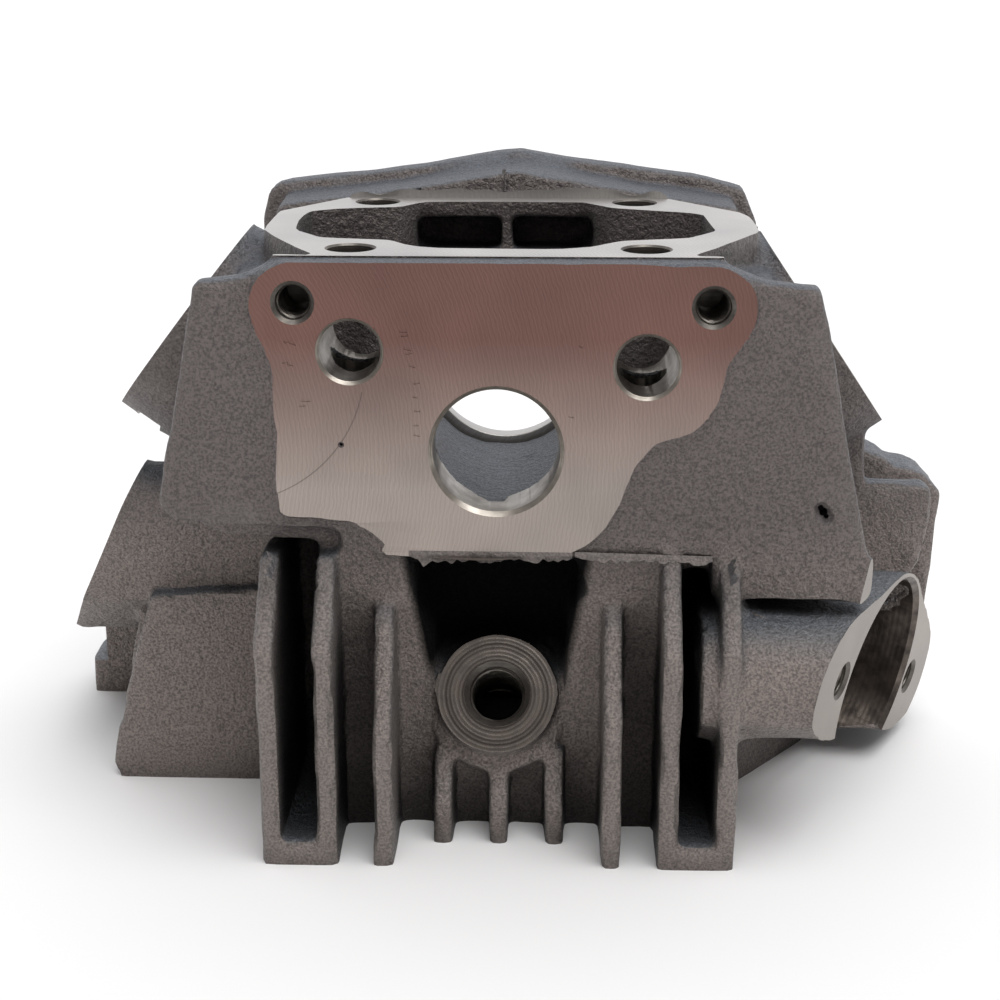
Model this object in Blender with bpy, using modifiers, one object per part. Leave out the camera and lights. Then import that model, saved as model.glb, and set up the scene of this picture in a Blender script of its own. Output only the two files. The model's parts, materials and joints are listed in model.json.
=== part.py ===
"""Cylinder head of a small air-cooled single-cylinder overhead-camshaft engine.

The casting is made the way the real one is: cast stock, cored hollows, inner
bosses, then machined cuts.  The valve gear is turned, sprung and wedged in.
Sizes below are in millimetres; the mesh helpers turn them into metres.
Axes: Z is the cylinder's bore axis, Z = 0 the gasket face, +X the exhaust
side, +Y the cam-chain side.  An empty then puts the base's centre at the origin.
"""

import math

import bmesh
import bpy
from mathutils import Matrix, Vector

MM = 0.001
GAP = 0.3                       # clearance between pieces that touch

# Overall sizes of the casting
HEAD_HEIGHT = 105.0             # gasket face to top cover face
FRONT_FACE = -37.0              # milled side-cover face
FIN_FRONT = -47.5               # front edges of the tall fins
CHAIN_WALL = 41.0               # inner wall of the chain tunnel
CHAIN_FACE = 55.0               # cover face on the chain side
STUD_PITCH = 50.0               # square of the four cylinder studs
STUD_RADIUS = 4.0
TOP_PLATE = 7.0                 # thickness of the top cover flange

# Camshaft and rocker shafts
CAM_HEIGHT = 72.7
CAM_BORE = 10.65                # bearing bore radius, front
CAM_BORE_CHAIN = 22.0           # bearing bore radius, chain side
ROCKER_BORE = 5.1
ROCKER_SHAFTS = ((-24.3, 15.2), (25.0, 17.5))   # X, depth below the top face
COVER_BOLT = 2.9                # M6 tapping radius
COVER_BOLTS = ((-33.5, 7.0), (35.6, 7.4))       # X, depth below the top face

# Combustion chamber and spark plug
CHAMBER_RADIUS = 25.0
CHAMBER_DEPTH = 17.0
PLUG_SEAT = (0.0, -33.0, 26.7)  # centre of the plug's seat
PLUG_ENTRY = (0.0, -14.0, 14.4)  # where its hole meets the chamber
PLUG_RADIUS = 4.5
PLUG_SEAT_RADIUS = 10.65

# Valves, measured along each stem from the underside of its head
VALVE_ANGLE = 30.0
VALVE_PLANE = 3.0               # Y of both stems
VALVE_LENGTH = 70.0
STEM_RADIUS = 2.5
HEAD_RADIUS = {"intake": 11.25, "exhaust": 10.0}
SEAT_WALL = 1.75                # seat ring beyond the head's edge
THROAT_WALL = 1.65              # head's edge beyond the throat
GUIDE_RADIUS = 4.5
GUIDE_START = 15.0
GUIDE_END = 42.0
POCKET_FLOOR = 34.0
POCKET_RADIUS = 14.0
POCKET_WALL = 3.5
RETAINER_SEAT = VALVE_LENGTH - 8.2
SEAL_RADIUS = 6.0
INNER_SPRING = {"radius": 7.5, "wire": 0.9, "turns": 8}
OUTER_SPRING = {"radius": 10.4, "wire": 1.4, "turns": 6}

# Tappet covers' bosses
TAPPET_RADIUS = 20.8
TAPPET_HOLE = 14.5
TAPPET_REACH = {"intake": 17.7, "exhaust": 16.2}    # valve tip to boss face, along the boss's axis
TAPPET_RISE = {"intake": 4.7, "exhaust": 3.9}       # valve tip to the boss's axis, up the face
TAPPET_TILT = {"intake": 37.7, "exhaust": 34.5}

# Ports: centre of each flange, its outward normal, and its stud line
INTAKE_FLANGE = {
    "centre": (-77.2, 9.0, 39.5), "normal": (-0.90, 0.0, 0.44), "studs": (0.31, -0.707, 0.636),
    "stud_reach": 21.0, "body": 17.0, "ear": 8.5, "port": 9.5, "elbow": (-45.0, 5.0, 21.0),
    "recess": 0.0, "cut": -20.0}
EXHAUST_FLANGE = {
    "centre": (70.6, -15.0, 22.6), "normal": (0.863, -0.483, -0.146), "studs": (0.413, 0.843, -0.346),
    "stud_reach": 24.6, "body": 21.3, "ear": 12.2, "port": 9.0, "elbow": (40.0, 0.0, 21.0),
    "recess": 19.1, "cut": -10.7}
FLANGE_STUD = 2.9

# Cooling fins
FIN_PITCH = 9.9
FIN_WIDTH = 3.5
HOLLOW_BACK = -12.0             # how far back the gaps beside the outer fins run


def clear_scene():
    for item in list(bpy.data.objects):
        bpy.data.objects.remove(item, do_unlink=True)


def new_collection(name):
    collection = bpy.data.collections.new(name)
    bpy.context.scene.collection.children.link(collection)
    return collection


def hide_cutter(item):
    item.hide_render = True
    item.display_type = "WIRE"


def add_object(name, mesh, collection, matrix=None):
    item = bpy.data.objects.new(name, mesh)
    if matrix is not None:
        item.matrix_world = matrix
    collection.objects.link(item)
    if collection.name != PART_NAME:
        hide_cutter(item)
    return item


def to_metres(point):
    return Vector(point) * MM


def make_box(name, low, high, collection):
    low, high = to_metres(low), to_metres(high)
    mesh = bpy.data.meshes.new(name)
    shape = bmesh.new()
    place = Matrix.Translation((low + high) / 2) @ Matrix.Diagonal((*(high - low), 1.0))
    bmesh.ops.create_cube(shape, size=1.0, matrix=place)
    shape.to_mesh(mesh)
    shape.free()
    return add_object(name, mesh, collection)


def make_cylinder(name, start, end, radius, collection, sides=24, end_radius=None):
    """A cylinder or cone whose centre line runs from start to end."""
    start, end = to_metres(start), to_metres(end)
    along = end - start
    mesh = bpy.data.meshes.new(name)
    shape = bmesh.new()
    place = Matrix.Translation((start + end) / 2) @ along.to_track_quat("Z", "Y").to_matrix().to_4x4()
    bmesh.ops.create_cone(
        shape, cap_ends=True, segments=sides, radius1=radius * MM,
        radius2=(radius if end_radius is None else end_radius) * MM, depth=along.length, matrix=place)
    shape.to_mesh(mesh)
    shape.free()
    return add_object(name, mesh, collection)


PLANES = {
    "XY": Matrix(((1, 0, 0), (0, 1, 0), (0, 0, 1))),
    "XZ": Matrix(((1, 0, 0), (0, 0, -1), (0, 1, 0))),
    "YZ": Matrix(((0, 0, 1), (1, 0, 0), (0, 1, 0))),
}


def mesh_from_curve(curve_item, name, collection):
    """Turn a filled curve into a closed mesh object in the same place."""
    graph = bpy.context.evaluated_depsgraph_get()
    mesh = bpy.data.meshes.new_from_object(curve_item.evaluated_get(graph))
    shape = bmesh.new()
    shape.from_mesh(mesh)
    bmesh.ops.remove_doubles(shape, verts=shape.verts, dist=1e-6)
    shape.to_mesh(mesh)
    shape.free()
    mesh.materials.clear()
    matrix = curve_item.matrix_world.copy()
    bpy.data.objects.remove(curve_item, do_unlink=True)
    return add_object(name, mesh, collection, matrix)


def make_plate(name, outline, plane, low, high, collection):
    """A flat outline in one plane, from low to high along the third axis."""
    curve = bpy.data.curves.new(name + "_outline", "CURVE")
    curve.dimensions = "2D"
    curve.fill_mode = "BOTH"
    curve.extrude = (high - low) / 2 * MM
    spline = curve.splines.new("POLY")
    spline.points.add(len(outline) - 1)
    for point, (across, up) in zip(spline.points, outline):
        point.co = (across * MM, up * MM, 0.0, 1.0)
    spline.use_cyclic_u = True
    turn = PLANES[plane]
    third = Vector([1.0 if axis not in plane else 0.0 for axis in "XYZ"])
    item = bpy.data.objects.new(name + "_outline", curve)
    item.matrix_world = Matrix.Translation(third * (low + high) / 2 * MM) @ turn.to_4x4()
    bpy.context.scene.collection.objects.link(item)
    bpy.context.view_layer.update()
    return mesh_from_curve(item, name, collection)


def make_loft(name, first, second, collection):
    """A closed solid between two outlines of the same number of points."""
    count = len(first)
    mesh = bpy.data.meshes.new(name)
    shape = bmesh.new()
    near = [shape.verts.new(to_metres(point)) for point in first]
    far = [shape.verts.new(to_metres(point)) for point in second]
    shape.faces.new(near)
    shape.faces.new(list(reversed(far)))
    for index in range(count):
        following = (index + 1) % count
        shape.faces.new((near[following], near[index], far[index], far[following]))
    bmesh.ops.recalc_face_normals(shape, faces=shape.faces)
    bmesh.ops.triangulate(shape, faces=shape.faces)
    shape.to_mesh(mesh)
    shape.free()
    return add_object(name, mesh, collection)


def make_turned(name, profile, collection, sides=24):
    """A profile of (radius, height) turned once round the local Z axis.

    The profile runs down the outer side, from the top to the bottom.
    """
    mesh = bpy.data.meshes.new(name)
    shape = bmesh.new()
    verts = [shape.verts.new((radius * MM, 0.0, height * MM)) for radius, height in profile]
    closed = profile[0][0] > 0
    for index in range(len(verts) - (0 if closed else 1)):
        shape.edges.new((verts[index], verts[(index + 1) % len(verts)]))
    shape.to_mesh(mesh)
    shape.free()
    item = add_object(name, mesh, collection)
    screw = item.modifiers.new("turn", "SCREW")
    screw.steps = sides
    screw.render_steps = sides
    screw.use_merge_vertices = True
    screw.merge_threshold = 1e-6
    screw.use_smooth_shade = False
    return item


def combine(item, operation, collection):
    boolean = item.modifiers.new(collection.name, "BOOLEAN")
    boolean.operation = operation
    boolean.operand_type = "COLLECTION"
    boolean.collection = collection
    boolean.solver = "EXACT"


def make_material(name, colour, roughness, metallic):
    material = bpy.data.materials.new(name)
    material.use_nodes = True
    shader = material.node_tree.nodes["Principled BSDF"]
    shader.inputs["Base Color"].default_value = (*colour, 1.0)
    shader.inputs["Roughness"].default_value = roughness
    shader.inputs["Metallic"].default_value = metallic
    material.diffuse_color = (*colour, 1.0)
    return material


def arc(centre, radius, start, end, steps):
    """Points on a circle between two angles in degrees, both included."""
    points = []
    for index in range(steps + 1):
        angle = math.radians(start + (end - start) * index / steps)
        points.append((centre[0] + radius * math.cos(angle), centre[1] + radius * math.sin(angle)))
    return points


# ---------------------------------------------------------------- casting

def rocker_case(stock):
    """The hollow box round the camshaft, with its front wall and top flange."""
    top = HEAD_HEIGHT
    body = ((-46, top - 6), (-49, top - 13), (-54, 80), (-56, 60), (-47, 56), (46, 50), (60, 47.5),
            (61, 58), (56, 84), (50, top - 11), (47, top - 6))
    make_plate("rocker_body", body, "XZ", FRONT_FACE + 4, CHAIN_WALL - 2, stock)
    wall = ((-50, top - 4), (-42, top - 3.2), (-37, top - 0.8), (37, top - 0.8), (44, top - 3.5),
            (53, top - 4.6), (55, 93), (58.5, 76), (63.8, 53), (64.3, 45.8), (37, 46.3), (36.6, 54.1),
            (-21, 53.7), (-23, 57.8), (-56, 59.8), (-58, 62.7))
    make_plate("front_wall", wall, "XZ", FRONT_FACE + 0.7, FRONT_FACE + 6, stock)
    flange = ((-42.5, -8), (-38, -18), (-33, -27.4), (-30.3, -31.5), (31.8, -31.5), (39.5, -18.7),
              (45.8, -7.6), (45.7, 8.6), (44.4, 14), (37.5, 22.5), (31.2, 31), (-31.2, 31),
              (-34.4, 25.3), (-42.5, 13))
    make_plate("top_flange", flange, "XY", top - TOP_PLATE, top, stock)


def milled_pad(stock):
    """The side-cover face, a thin step proud of the wall, with a lobe round each cover bolt."""
    top = HEAD_HEIGHT
    (left, left_down), (right, right_down) = COVER_BOLTS
    outline = [(-36.7, 61.6), (-36.6, 88)]
    outline += reversed(arc((left, top - left_down), 7.2, 90, 210, 6))
    outline += reversed(arc((right, top - right_down), 7.2, -45, 90, 6))
    outline += [(37.3, 87.2), (36.1, 82), (32.3, 77.7), (24.1, 73.9), (20.9, 64.5), (17.6, 59.1),
                (12, 54.5), (-20, 54.5), (-17.2, 57.3), (-23.2, 60.5)]
    make_plate("milled_pad", outline, "XZ", FRONT_FACE, FRONT_FACE + 3, stock)


def chain_case(stock):
    """The case round the cam chain, its cover flange, and the saddle in front of it."""
    top = HEAD_HEIGHT
    crown = ((-51.6, top - 7.6), (-50, top - 1.7), (-47.5, top), (-18.4, top + 3.4), (-6, top + 5.8),
             (2.3, top + 6.9), (10.5, top + 5.2), (39.4, top + 1.6), (48.7, top - 1), (51.7, top - 8))
    skirt = ((53, 70), (46, 42), (37, 24), (37, 0), (-37, 0), (-37, 24), (-46, 42), (-53, 70))
    make_plate("chain_flange", crown + skirt, "XZ", CHAIN_FACE - 6, CHAIN_FACE, stock)
    inner_crown = ((-48, top - 9), (-46, top - 2), (-18, top + 1.5), (2, top + 4.8), (18, top + 2),
                   (46, top - 2.4), (48, top - 9))
    inner_skirt = ((50, 70), (43.5, 42), (35, 22), (35, 0), (-35, 0), (-35, 22), (-43.5, 42), (-50, 70))
    make_plate("chain_case", inner_crown + inner_skirt, "XZ", CHAIN_WALL - 8, CHAIN_FACE - 3, stock)
    near = ((-20, 30, top - 8), (-19, 30, top - 0.5), (-8, 30, top - 0.4), (1, 30, top - 0.3),
            (10, 30, top - 0.4), (19, 30, top - 0.5), (20, 30, top - 8))
    back = CHAIN_FACE - 5
    far = ((-20, back, top - 8), (-18, back, top + 2), (-8, back, top + 5), (2, back, top + 6),
           (10, back, top + 4.8), (18, back, top + 2.2), (20, back, top - 8))
    make_loft("saddle", near, far, stock)


def lower_body(stock):
    """The block over the combustion chamber, down to the gasket face."""
    front = ((FRONT_FACE + 1, 58), (-33, 38), (-30.5, 0), (-5, 0), (-5, 58))
    make_plate("chamber_front", front, "YZ", -27, 27, stock)
    make_box("chamber_block", (-41, HOLLOW_BACK, 0), (41, CHAIN_WALL - 1, 58.5), stock)
    right = ((38, -19), (44, -14.8), (60, 5.3), (63, 12), (63, 34), (38, 38))
    make_plate("exhaust_side_body", right, "XY", 0, 50, stock)
    left = ((-40, -8), (-62, -8), (-66, 6), (-66, 34), (-40, 38))
    make_plate("intake_side_body", left, "XY", 0, 17, stock)
    make_box("left_foot", (-88, 25, 0), (-60, 37, 19.5), stock)
    for side in (-1, 1):
        for end in (-1, 1):
            place = (side * STUD_PITCH / 2, end * STUD_PITCH / 2)
            make_cylinder(f"stud_column_{side}_{end}", (*place, 0), (*place, 56), 7, stock, 20)


def fin_centre(index):
    return 0.4 + index * FIN_PITCH


def front_fins(stock):
    """Nine fins across the plug side: two tall pairs, two middle ones, three short ones."""
    tall = ((FIN_FRONT, 0), (FIN_FRONT, 40), (FRONT_FACE + 0.4, 53.8), (-30, 53.8), (HOLLOW_BACK + 1, 50),
            (HOLLOW_BACK + 1, 0))
    middle = ((FIN_FRONT, 0), (FIN_FRONT, 25), (-38, 42), (-31, 48), (-27, 48), (-27, 0))
    short = ((-39, 0), (-39.5, 8), (-34, 16.5), (-27, 16.5), (-27, 0))
    shapes = {4: tall, 3: tall, 2: middle, 1: short, 0: short}
    for index in range(-4, 5):
        centre = fin_centre(index)
        outline = shapes[abs(index)]
        low, high = centre - FIN_WIDTH / 2, centre + FIN_WIDTH / 2
        make_plate(f"front_fin_{index + 5}", outline, "YZ", low, high, stock)
    for name, first in (("left_web", -4), ("right_web", 3)):
        low = (fin_centre(first) - 1, FIN_FRONT, 0)
        high = (fin_centre(first + 1) + 1, HOLLOW_BACK + 1, 4.3)
        make_box(name, low, high, stock)


def side_fins(stock):
    """Slabs on the intake side and the exhaust side, across the bore."""
    front = ((-65.5, 37), (-38, 39.3), (-38, 0), (-72.5, 0), (-74, 2), (-71.5, 17.5))
    make_plate("intake_fin_front", front, "XZ", -14, -9, stock)
    foot = ((-39, 10.8), (-39, 0.6), (-73.4, 0.6), (-74.6, 2.4), (-73.2, 10.8))
    make_plate("intake_fin_foot", foot, "XZ", -14.8, -9.5, stock)
    middle = ((-67, 42.3), (-35, 45), (-35, 0), (-74, 0), (-72, 20))
    make_plate("intake_fin_middle", middle, "XZ", -6, -1, stock)
    rear = ((-64, 36), (-35, 38), (-35, 0), (-72, 0), (-70, 18))
    make_plate("intake_fin_rear", rear, "XZ", 33, 37.5, stock)
    near = ((61, 68), (67.6, 68), (68, 57.2), (79, 57), (80.6, 55.8), (80.6, 50), (79, 41), (71, 30),
            (71, 8), (56, 6), (56, 68))
    make_plate("exhaust_fin_front", near, "XZ", -4, 1, stock)
    far = ((58, 61), (71, 58), (75.1, 56.5), (76.7, 54.8), (79.6, 54.5), (83.1, 53), (86.5, 49.4), (85, 26),
           (82, 4), (58, 4))
    make_plate("exhaust_fin_rear", far, "XZ", 15, 27, stock)


def valve_direction(side):
    lean = math.radians(VALVE_ANGLE) * (1 if side == "exhaust" else -1)
    return Vector((math.sin(lean), 0.0, math.cos(lean)))


def dome():
    """Radius of the chamber's dome and the height of its centre."""
    radius = (CHAMBER_RADIUS ** 2 + CHAMBER_DEPTH ** 2) / (2 * CHAMBER_DEPTH)
    return radius, CHAMBER_DEPTH - radius


def valve_base(side):
    """Centre of the valve head's underside, when closed."""
    radius, centre = dome()
    reach = math.sqrt(radius ** 2 - HEAD_RADIUS[side] ** 2) - GAP
    return Vector((0.0, VALVE_PLANE, centre)) + valve_direction(side) * reach


def on_stem(side, distance):
    return valve_base(side) + valve_direction(side) * distance


def tappet_axis(side):
    """Centre of a tappet boss's face, and the way it faces."""
    tilt = math.radians(TAPPET_TILT[side])
    sign = 1 if side == "exhaust" else -1
    normal = Vector((sign * math.cos(tilt), 0.0, math.sin(tilt)))
    up_face = Vector((-sign * math.sin(tilt), 0.0, math.cos(tilt)))
    tip = on_stem(side, VALVE_LENGTH + 1.5)
    return tip + normal * TAPPET_REACH[side] + up_face * TAPPET_RISE[side], normal


def flange_axes(flange):
    """The flange's centre, normal, stud line, and the line across the studs."""
    normal = Vector(flange["normal"]).normalized()
    studs = Vector(flange["studs"])
    studs = (studs - normal * studs.dot(normal)).normalized()
    across = normal.cross(studs)
    if across.z < 0:
        across = -across
    return Vector(flange["centre"]), normal, studs, across


def flange_outline(flange):
    """Corners of the flange's face: an oval round the bore and two studs, cut flat below."""
    body, ear, reach = flange["body"], flange["ear"], flange["stud_reach"]
    lean = math.degrees(math.acos((body - ear) / reach))
    shape = arc((reach, 0), ear, -40, lean, 6)
    shape += arc((0, 0), body, lean, 180 - lean, 5)
    shape += arc((-reach, 0), ear, 180 - lean, 220, 6)
    shape += [(-reach - 1, -ear), (-body * 0.5, -body * 0.98), (body * 0.5, -body * 0.98), (reach + 1, -ear)]
    centre, _, studs, across = flange_axes(flange)
    outline = []
    for along, up in shape:
        outline.append(centre + studs * along + across * max(up, flange["cut"]))
    return outline


def port_bodies(stock):
    for side, flange, root in (("intake", INTAKE_FLANGE, -35), ("exhaust", EXHAUST_FLANGE, 35)):
        face = flange_outline(flange)
        make_loft(f"{side}_body", face, [(root, point.y, point.z) for point in face], stock)
    for side in ("intake", "exhaust"):
        centre, normal = tappet_axis(side)
        inner, outer = centre - normal * 24, centre + normal * 2
        make_cylinder(f"{side}_tappet_boss", outer, inner, TAPPET_RADIUS, stock, 32)
        tower = POCKET_RADIUS + POCKET_WALL
        make_cylinder(f"{side}_spring_tower", on_stem(side, 20), on_stem(side, 60), tower, stock, 28)


def hollows(cores):
    """Everything the casting's cores leave open."""
    top = HEAD_HEIGHT
    mouth = ((-36.8, -8), (-31.4, -15), (-19, -17.5), (-15, -23), (-9.9, -25), (10.4, -25.2), (16, -23),
             (20.8, -17.3), (33, -14), (38.1, -6.7), (37.2, 10.7), (34.9, 13), (20.4, 18.4), (15, 25.3),
             (-16, 25), (-20.2, 18.4), (-30.6, 17), (-36.8, 13), (-37.6, 5))
    make_plate("rocker_chamber_mouth", mouth, "XY", 66, top + 2, cores)
    roof = top - TOP_PLATE - 1
    wide = ((-38, roof), (-45.5, 88), (-46.5, 63), (46.5, 63), (46, 88), (40, roof))
    make_plate("rocker_chamber", wide, "XZ", -13, 20, cores)
    make_cylinder("cam_trough", (0, -27, CAM_HEIGHT), (0, 30, CAM_HEIGHT), 16.6, cores, 28)
    for name, low, high in (("left", -17.4, -0.9), ("right", 1.3, 16.8)):
        make_box(f"{name}_window", (low, 20, top - 9.4), (high, 33.5, top - 3.2), cores)
    tunnel = [(-24, -2), (24, -2), (26, 36)] + arc((0, 69), 33, -40, 220, 20) + [(-26, 36)]
    make_plate("chain_tunnel", tunnel, "XZ", CHAIN_WALL, CHAIN_FACE - 4, cores)
    recess = ((-15.3, 52), (-14.9, 47), (-11.2, 38.4), (-11.2, 24), (12, 24), (12.6, 43), (16, 47),
              (13.5, 53.2))
    make_plate("plug_recess", recess, "XZ", FIN_FRONT - 2, -20, cores)
    for side in ("intake", "exhaust"):
        make_cylinder(f"{side}_spring_pocket", on_stem(side, POCKET_FLOOR), on_stem(side, 74), POCKET_RADIUS,
                      cores, 32)
    radius, centre = dome()
    mesh = bpy.data.meshes.new("combustion_dome")
    shape = bmesh.new()
    bmesh.ops.create_uvsphere(shape, u_segments=32, v_segments=20, radius=radius * MM,
                              matrix=Matrix.Translation((0, 0, centre * MM)))
    shape.to_mesh(mesh)
    shape.free()
    add_object("combustion_dome", mesh, cores)
    port_hollow("intake", INTAKE_FLANGE, cores)
    port_hollow("exhaust", EXHAUST_FLANGE, cores)


def port_hollow(side, flange, cores):
    """The throat over the seat, and the port from it to the flange."""
    throat = HEAD_RADIUS[side] - THROAT_WALL
    turn = on_stem(side, 11)
    centre, normal, _, _ = flange_axes(flange)
    elbow = Vector(flange["elbow"])
    make_cylinder(f"{side}_throat", on_stem(side, 2), turn, throat, cores, 24)
    inner = (turn - elbow).normalized()
    outer = (centre - elbow).normalized()
    make_cylinder(f"{side}_port_inner", turn + inner * 3.5, elbow, flange["port"] - 0.2, cores, 24)
    make_cylinder(f"{side}_port_outer", elbow - outer * 2.5, centre + normal * 4, flange["port"], cores, 24)


def inner_bosses(bosses):
    """Bosses that stand inside the hollows."""
    for side in (-1, 1):
        for end in (-1, 1):
            place = (side * STUD_PITCH / 2, end * STUD_PITCH / 2)
            bottom, top = (*place, 50), (*place, HEAD_HEIGHT - 1)
            make_cylinder(f"stud_boss_{side}_{end}", bottom, top, 7.2, bosses, 24)
    seat, entry = Vector(PLUG_SEAT), Vector(PLUG_ENTRY)
    inward = (entry - seat).normalized()
    make_cylinder("plug_boss", seat, seat + inward * 9, PLUG_SEAT_RADIUS, bosses, 32)
    make_cylinder("plug_root", seat + inward * 4, seat + inward * 18, 13.2, bosses, 32)


def machining(cuts):
    """Bores, threads' tapping holes and faces."""
    top = HEAD_HEIGHT
    front, back = FRONT_FACE - 3, CHAIN_FACE + 3
    for side in (-1, 1):
        for end in (-1, 1):
            place = (side * STUD_PITCH / 2, end * STUD_PITCH / 2)
            make_cylinder(f"stud_hole_{side}_{end}", (*place, -3), (*place, top + 3), STUD_RADIUS, cuts, 20)
    make_cylinder("cam_bore", (0, front, CAM_HEIGHT), (0, -20, CAM_HEIGHT), CAM_BORE, cuts, 32)
    make_cylinder("cam_bore_chain", (0, 25, CAM_HEIGHT - 0.7), (0, CHAIN_WALL + 2, CAM_HEIGHT - 0.7),
                  CAM_BORE_CHAIN, cuts, 40)
    make_cylinder("chain_cover_hole", (0, CHAIN_FACE - 8, 69), (0, back, 69), 31, cuts, 40)
    for number, (across, down) in enumerate(ROCKER_SHAFTS):
        place = (across, front, top - down)
        make_cylinder(f"rocker_shaft_bore_{number}", place, (across, 33, top - down), ROCKER_BORE, cuts, 20)
    for number, (across, down) in enumerate(COVER_BOLTS):
        place = (across, front, top - down)
        make_cylinder(f"side_cover_thread_{number}", place, (across, FRONT_FACE + 13, top - down), COVER_BOLT,
                      cuts, 16)
    for number, angle in enumerate((48, 132, 270)):
        across = 37.5 * math.cos(math.radians(angle))
        height = 69 + 37.5 * math.sin(math.radians(angle))
        start, end = (across, CHAIN_FACE - 10, height), (across, back, height)
        make_cylinder(f"chain_cover_thread_{number}", start, end, 2.5, cuts, 12)
    seat, entry = Vector(PLUG_SEAT), Vector(PLUG_ENTRY)
    inward = (entry - seat).normalized()
    make_cylinder("plug_thread", seat - inward * 4, entry + inward * 4, PLUG_RADIUS, cuts, 24)
    make_cylinder("plug_spot_face", seat - inward * 14, seat, PLUG_SEAT_RADIUS + 0.4, cuts, 32)
    flange_machining("intake", INTAKE_FLANGE, cuts)
    flange_machining("exhaust", EXHAUST_FLANGE, cuts)
    make_box("intake_flange_trim", (-100, -20, 19.5), (-87.2, 40, 45), cuts)
    for side in ("intake", "exhaust"):
        centre, normal = tappet_axis(side)
        make_cylinder(f"{side}_tappet_hole", centre + normal * 2, centre - normal * 21, TAPPET_HOLE, cuts, 32)
        make_cylinder(f"{side}_tappet_face", centre, centre + normal * 14, TAPPET_RADIUS + 1.5, cuts, 32)
        ring = HEAD_RADIUS[side] + SEAT_WALL + GAP
        make_cylinder(f"{side}_seat_pocket", on_stem(side, -6), on_stem(side, 6.6), ring, cuts, 32)
        make_cylinder(f"{side}_guide_bore", on_stem(side, 8), on_stem(side, POCKET_FLOOR + 2),
                      GUIDE_RADIUS + GAP, cuts, 20)


def flange_machining(side, flange, cuts):
    """The flange's recess and its two threaded holes."""
    centre, normal, studs, _ = flange_axes(flange)
    if flange["recess"]:
        make_cylinder(f"{side}_recess", centre + normal * 2, centre - normal * 11, flange["recess"], cuts, 40)
    for sign in (-1, 1):
        start = centre + studs * flange["stud_reach"] * sign
        make_cylinder(f"{side}_flange_thread_{sign}", start + normal * 2, start - normal * 14, FLANGE_STUD,
                      cuts, 16)


def build_casting(part, base):
    stock = new_collection("casting_stock")
    cores = new_collection("casting_cores")
    bosses = new_collection("casting_inner_bosses")
    cuts = new_collection("casting_machining")
    rocker_case(stock)
    milled_pad(stock)
    chain_case(stock)
    lower_body(stock)
    front_fins(stock)
    side_fins(stock)
    port_bodies(stock)
    hollows(cores)
    inner_bosses(bosses)
    machining(cuts)
    block = (-22, 10, 1), (22, 20, 57)
    casting = make_box("head_casting", *block, part)
    combine(casting, "UNION", stock)
    combine(casting, "DIFFERENCE", cores)
    combine(casting, "UNION", bosses)
    combine(casting, "DIFFERENCE", cuts)
    casting.data.materials.append(make_material("cast_aluminium", (0.25, 0.235, 0.225), 0.62, 0.9))
    casting.parent = base
    for collection in (stock, cores, bosses, cuts):
        for item in collection.objects:
            item.parent = base


# ---------------------------------------------------------------- valve gear

def valve_profile(side):
    edge = HEAD_RADIUS[side]
    neck = edge - THROAT_WALL - 0.2
    tip = VALVE_LENGTH
    profile = [(0, tip), (1.9, tip), (STEM_RADIUS, tip - 0.6), (STEM_RADIUS, tip - 5.4), (2.0, tip - 5.9),
               (2.0, tip - 7.3), (STEM_RADIUS, tip - 7.8)]
    bend = 11.0
    for index in range(6):
        share = index / 5
        height = 4.2 + bend * (1 - share)
        radius = STEM_RADIUS + (neck - STEM_RADIUS) * share ** 3
        profile.append((radius, height))
    profile += [(edge, 4.2 - (edge - neck)), (edge, 0.5), (edge - 0.5, 0), (0, 0)]
    return profile


def seat_profile(side):
    """A ring with a 45 degree face, one clearance off the valve's face."""
    edge = HEAD_RADIUS[side]
    inner = edge - THROAT_WALL
    outer = edge + SEAT_WALL
    slope_top = 4.2 - 0.2 + GAP * 1.4
    low = slope_top - (outer - 1.0 - inner)
    return [(inner, 6.3), (outer, 6.3), (outer, low), (outer - 1.0, low), (inner, slope_top)]


def guide_profile():
    inner = STEM_RADIUS + GAP
    groove = POCKET_FLOOR + 1.1
    return [(inner, GUIDE_END), (GUIDE_RADIUS - 0.8, GUIDE_END), (GUIDE_RADIUS, GUIDE_END - 1),
            (GUIDE_RADIUS, groove + 0.9), (4.05, groove + 0.9), (4.05, groove - 0.9),
            (GUIDE_RADIUS, groove - 0.9), (GUIDE_RADIUS, GUIDE_START + 2), (GUIDE_RADIUS - 1, GUIDE_START),
            (inner, GUIDE_START)]


def seal_profile():
    grip = GUIDE_RADIUS + GAP
    lip = STEM_RADIUS + GAP
    low = GUIDE_END - 4.6
    return [(lip, GUIDE_END + 3.2), (4.0, GUIDE_END + 3.2), (4.6, GUIDE_END + 0.8),
            (SEAL_RADIUS, GUIDE_END - 0.6), (SEAL_RADIUS, low), (grip, low), (grip, GUIDE_END + GAP),
            (lip, GUIDE_END + GAP)]


def spring_seat_profile():
    low = POCKET_FLOOR + GAP
    high = low + 1.6
    inner = 6.4
    outer = POCKET_RADIUS - 0.8
    return [(inner, high), (outer - 0.8, high), (outer, high - 0.5), (outer, low), (inner, low)]


def retainer_profile():
    seat = RETAINER_SEAT
    outer = OUTER_SPRING["radius"] + OUTER_SPRING["wire"]
    hub = INNER_SPRING["radius"] - INNER_SPRING["wire"] - GAP
    return [(4.75, seat + 3.4), (hub + 0.6, seat + 3.4), (hub + 1.4, seat + 2.4), (outer, seat + 1.7),
            (outer, seat), (hub + 2.3, seat), (hub + 2.3, seat - 0.9), (hub, seat - 0.9),
            (hub - 0.4, seat - 2.6), (3.55, seat - 2.6)]


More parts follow.
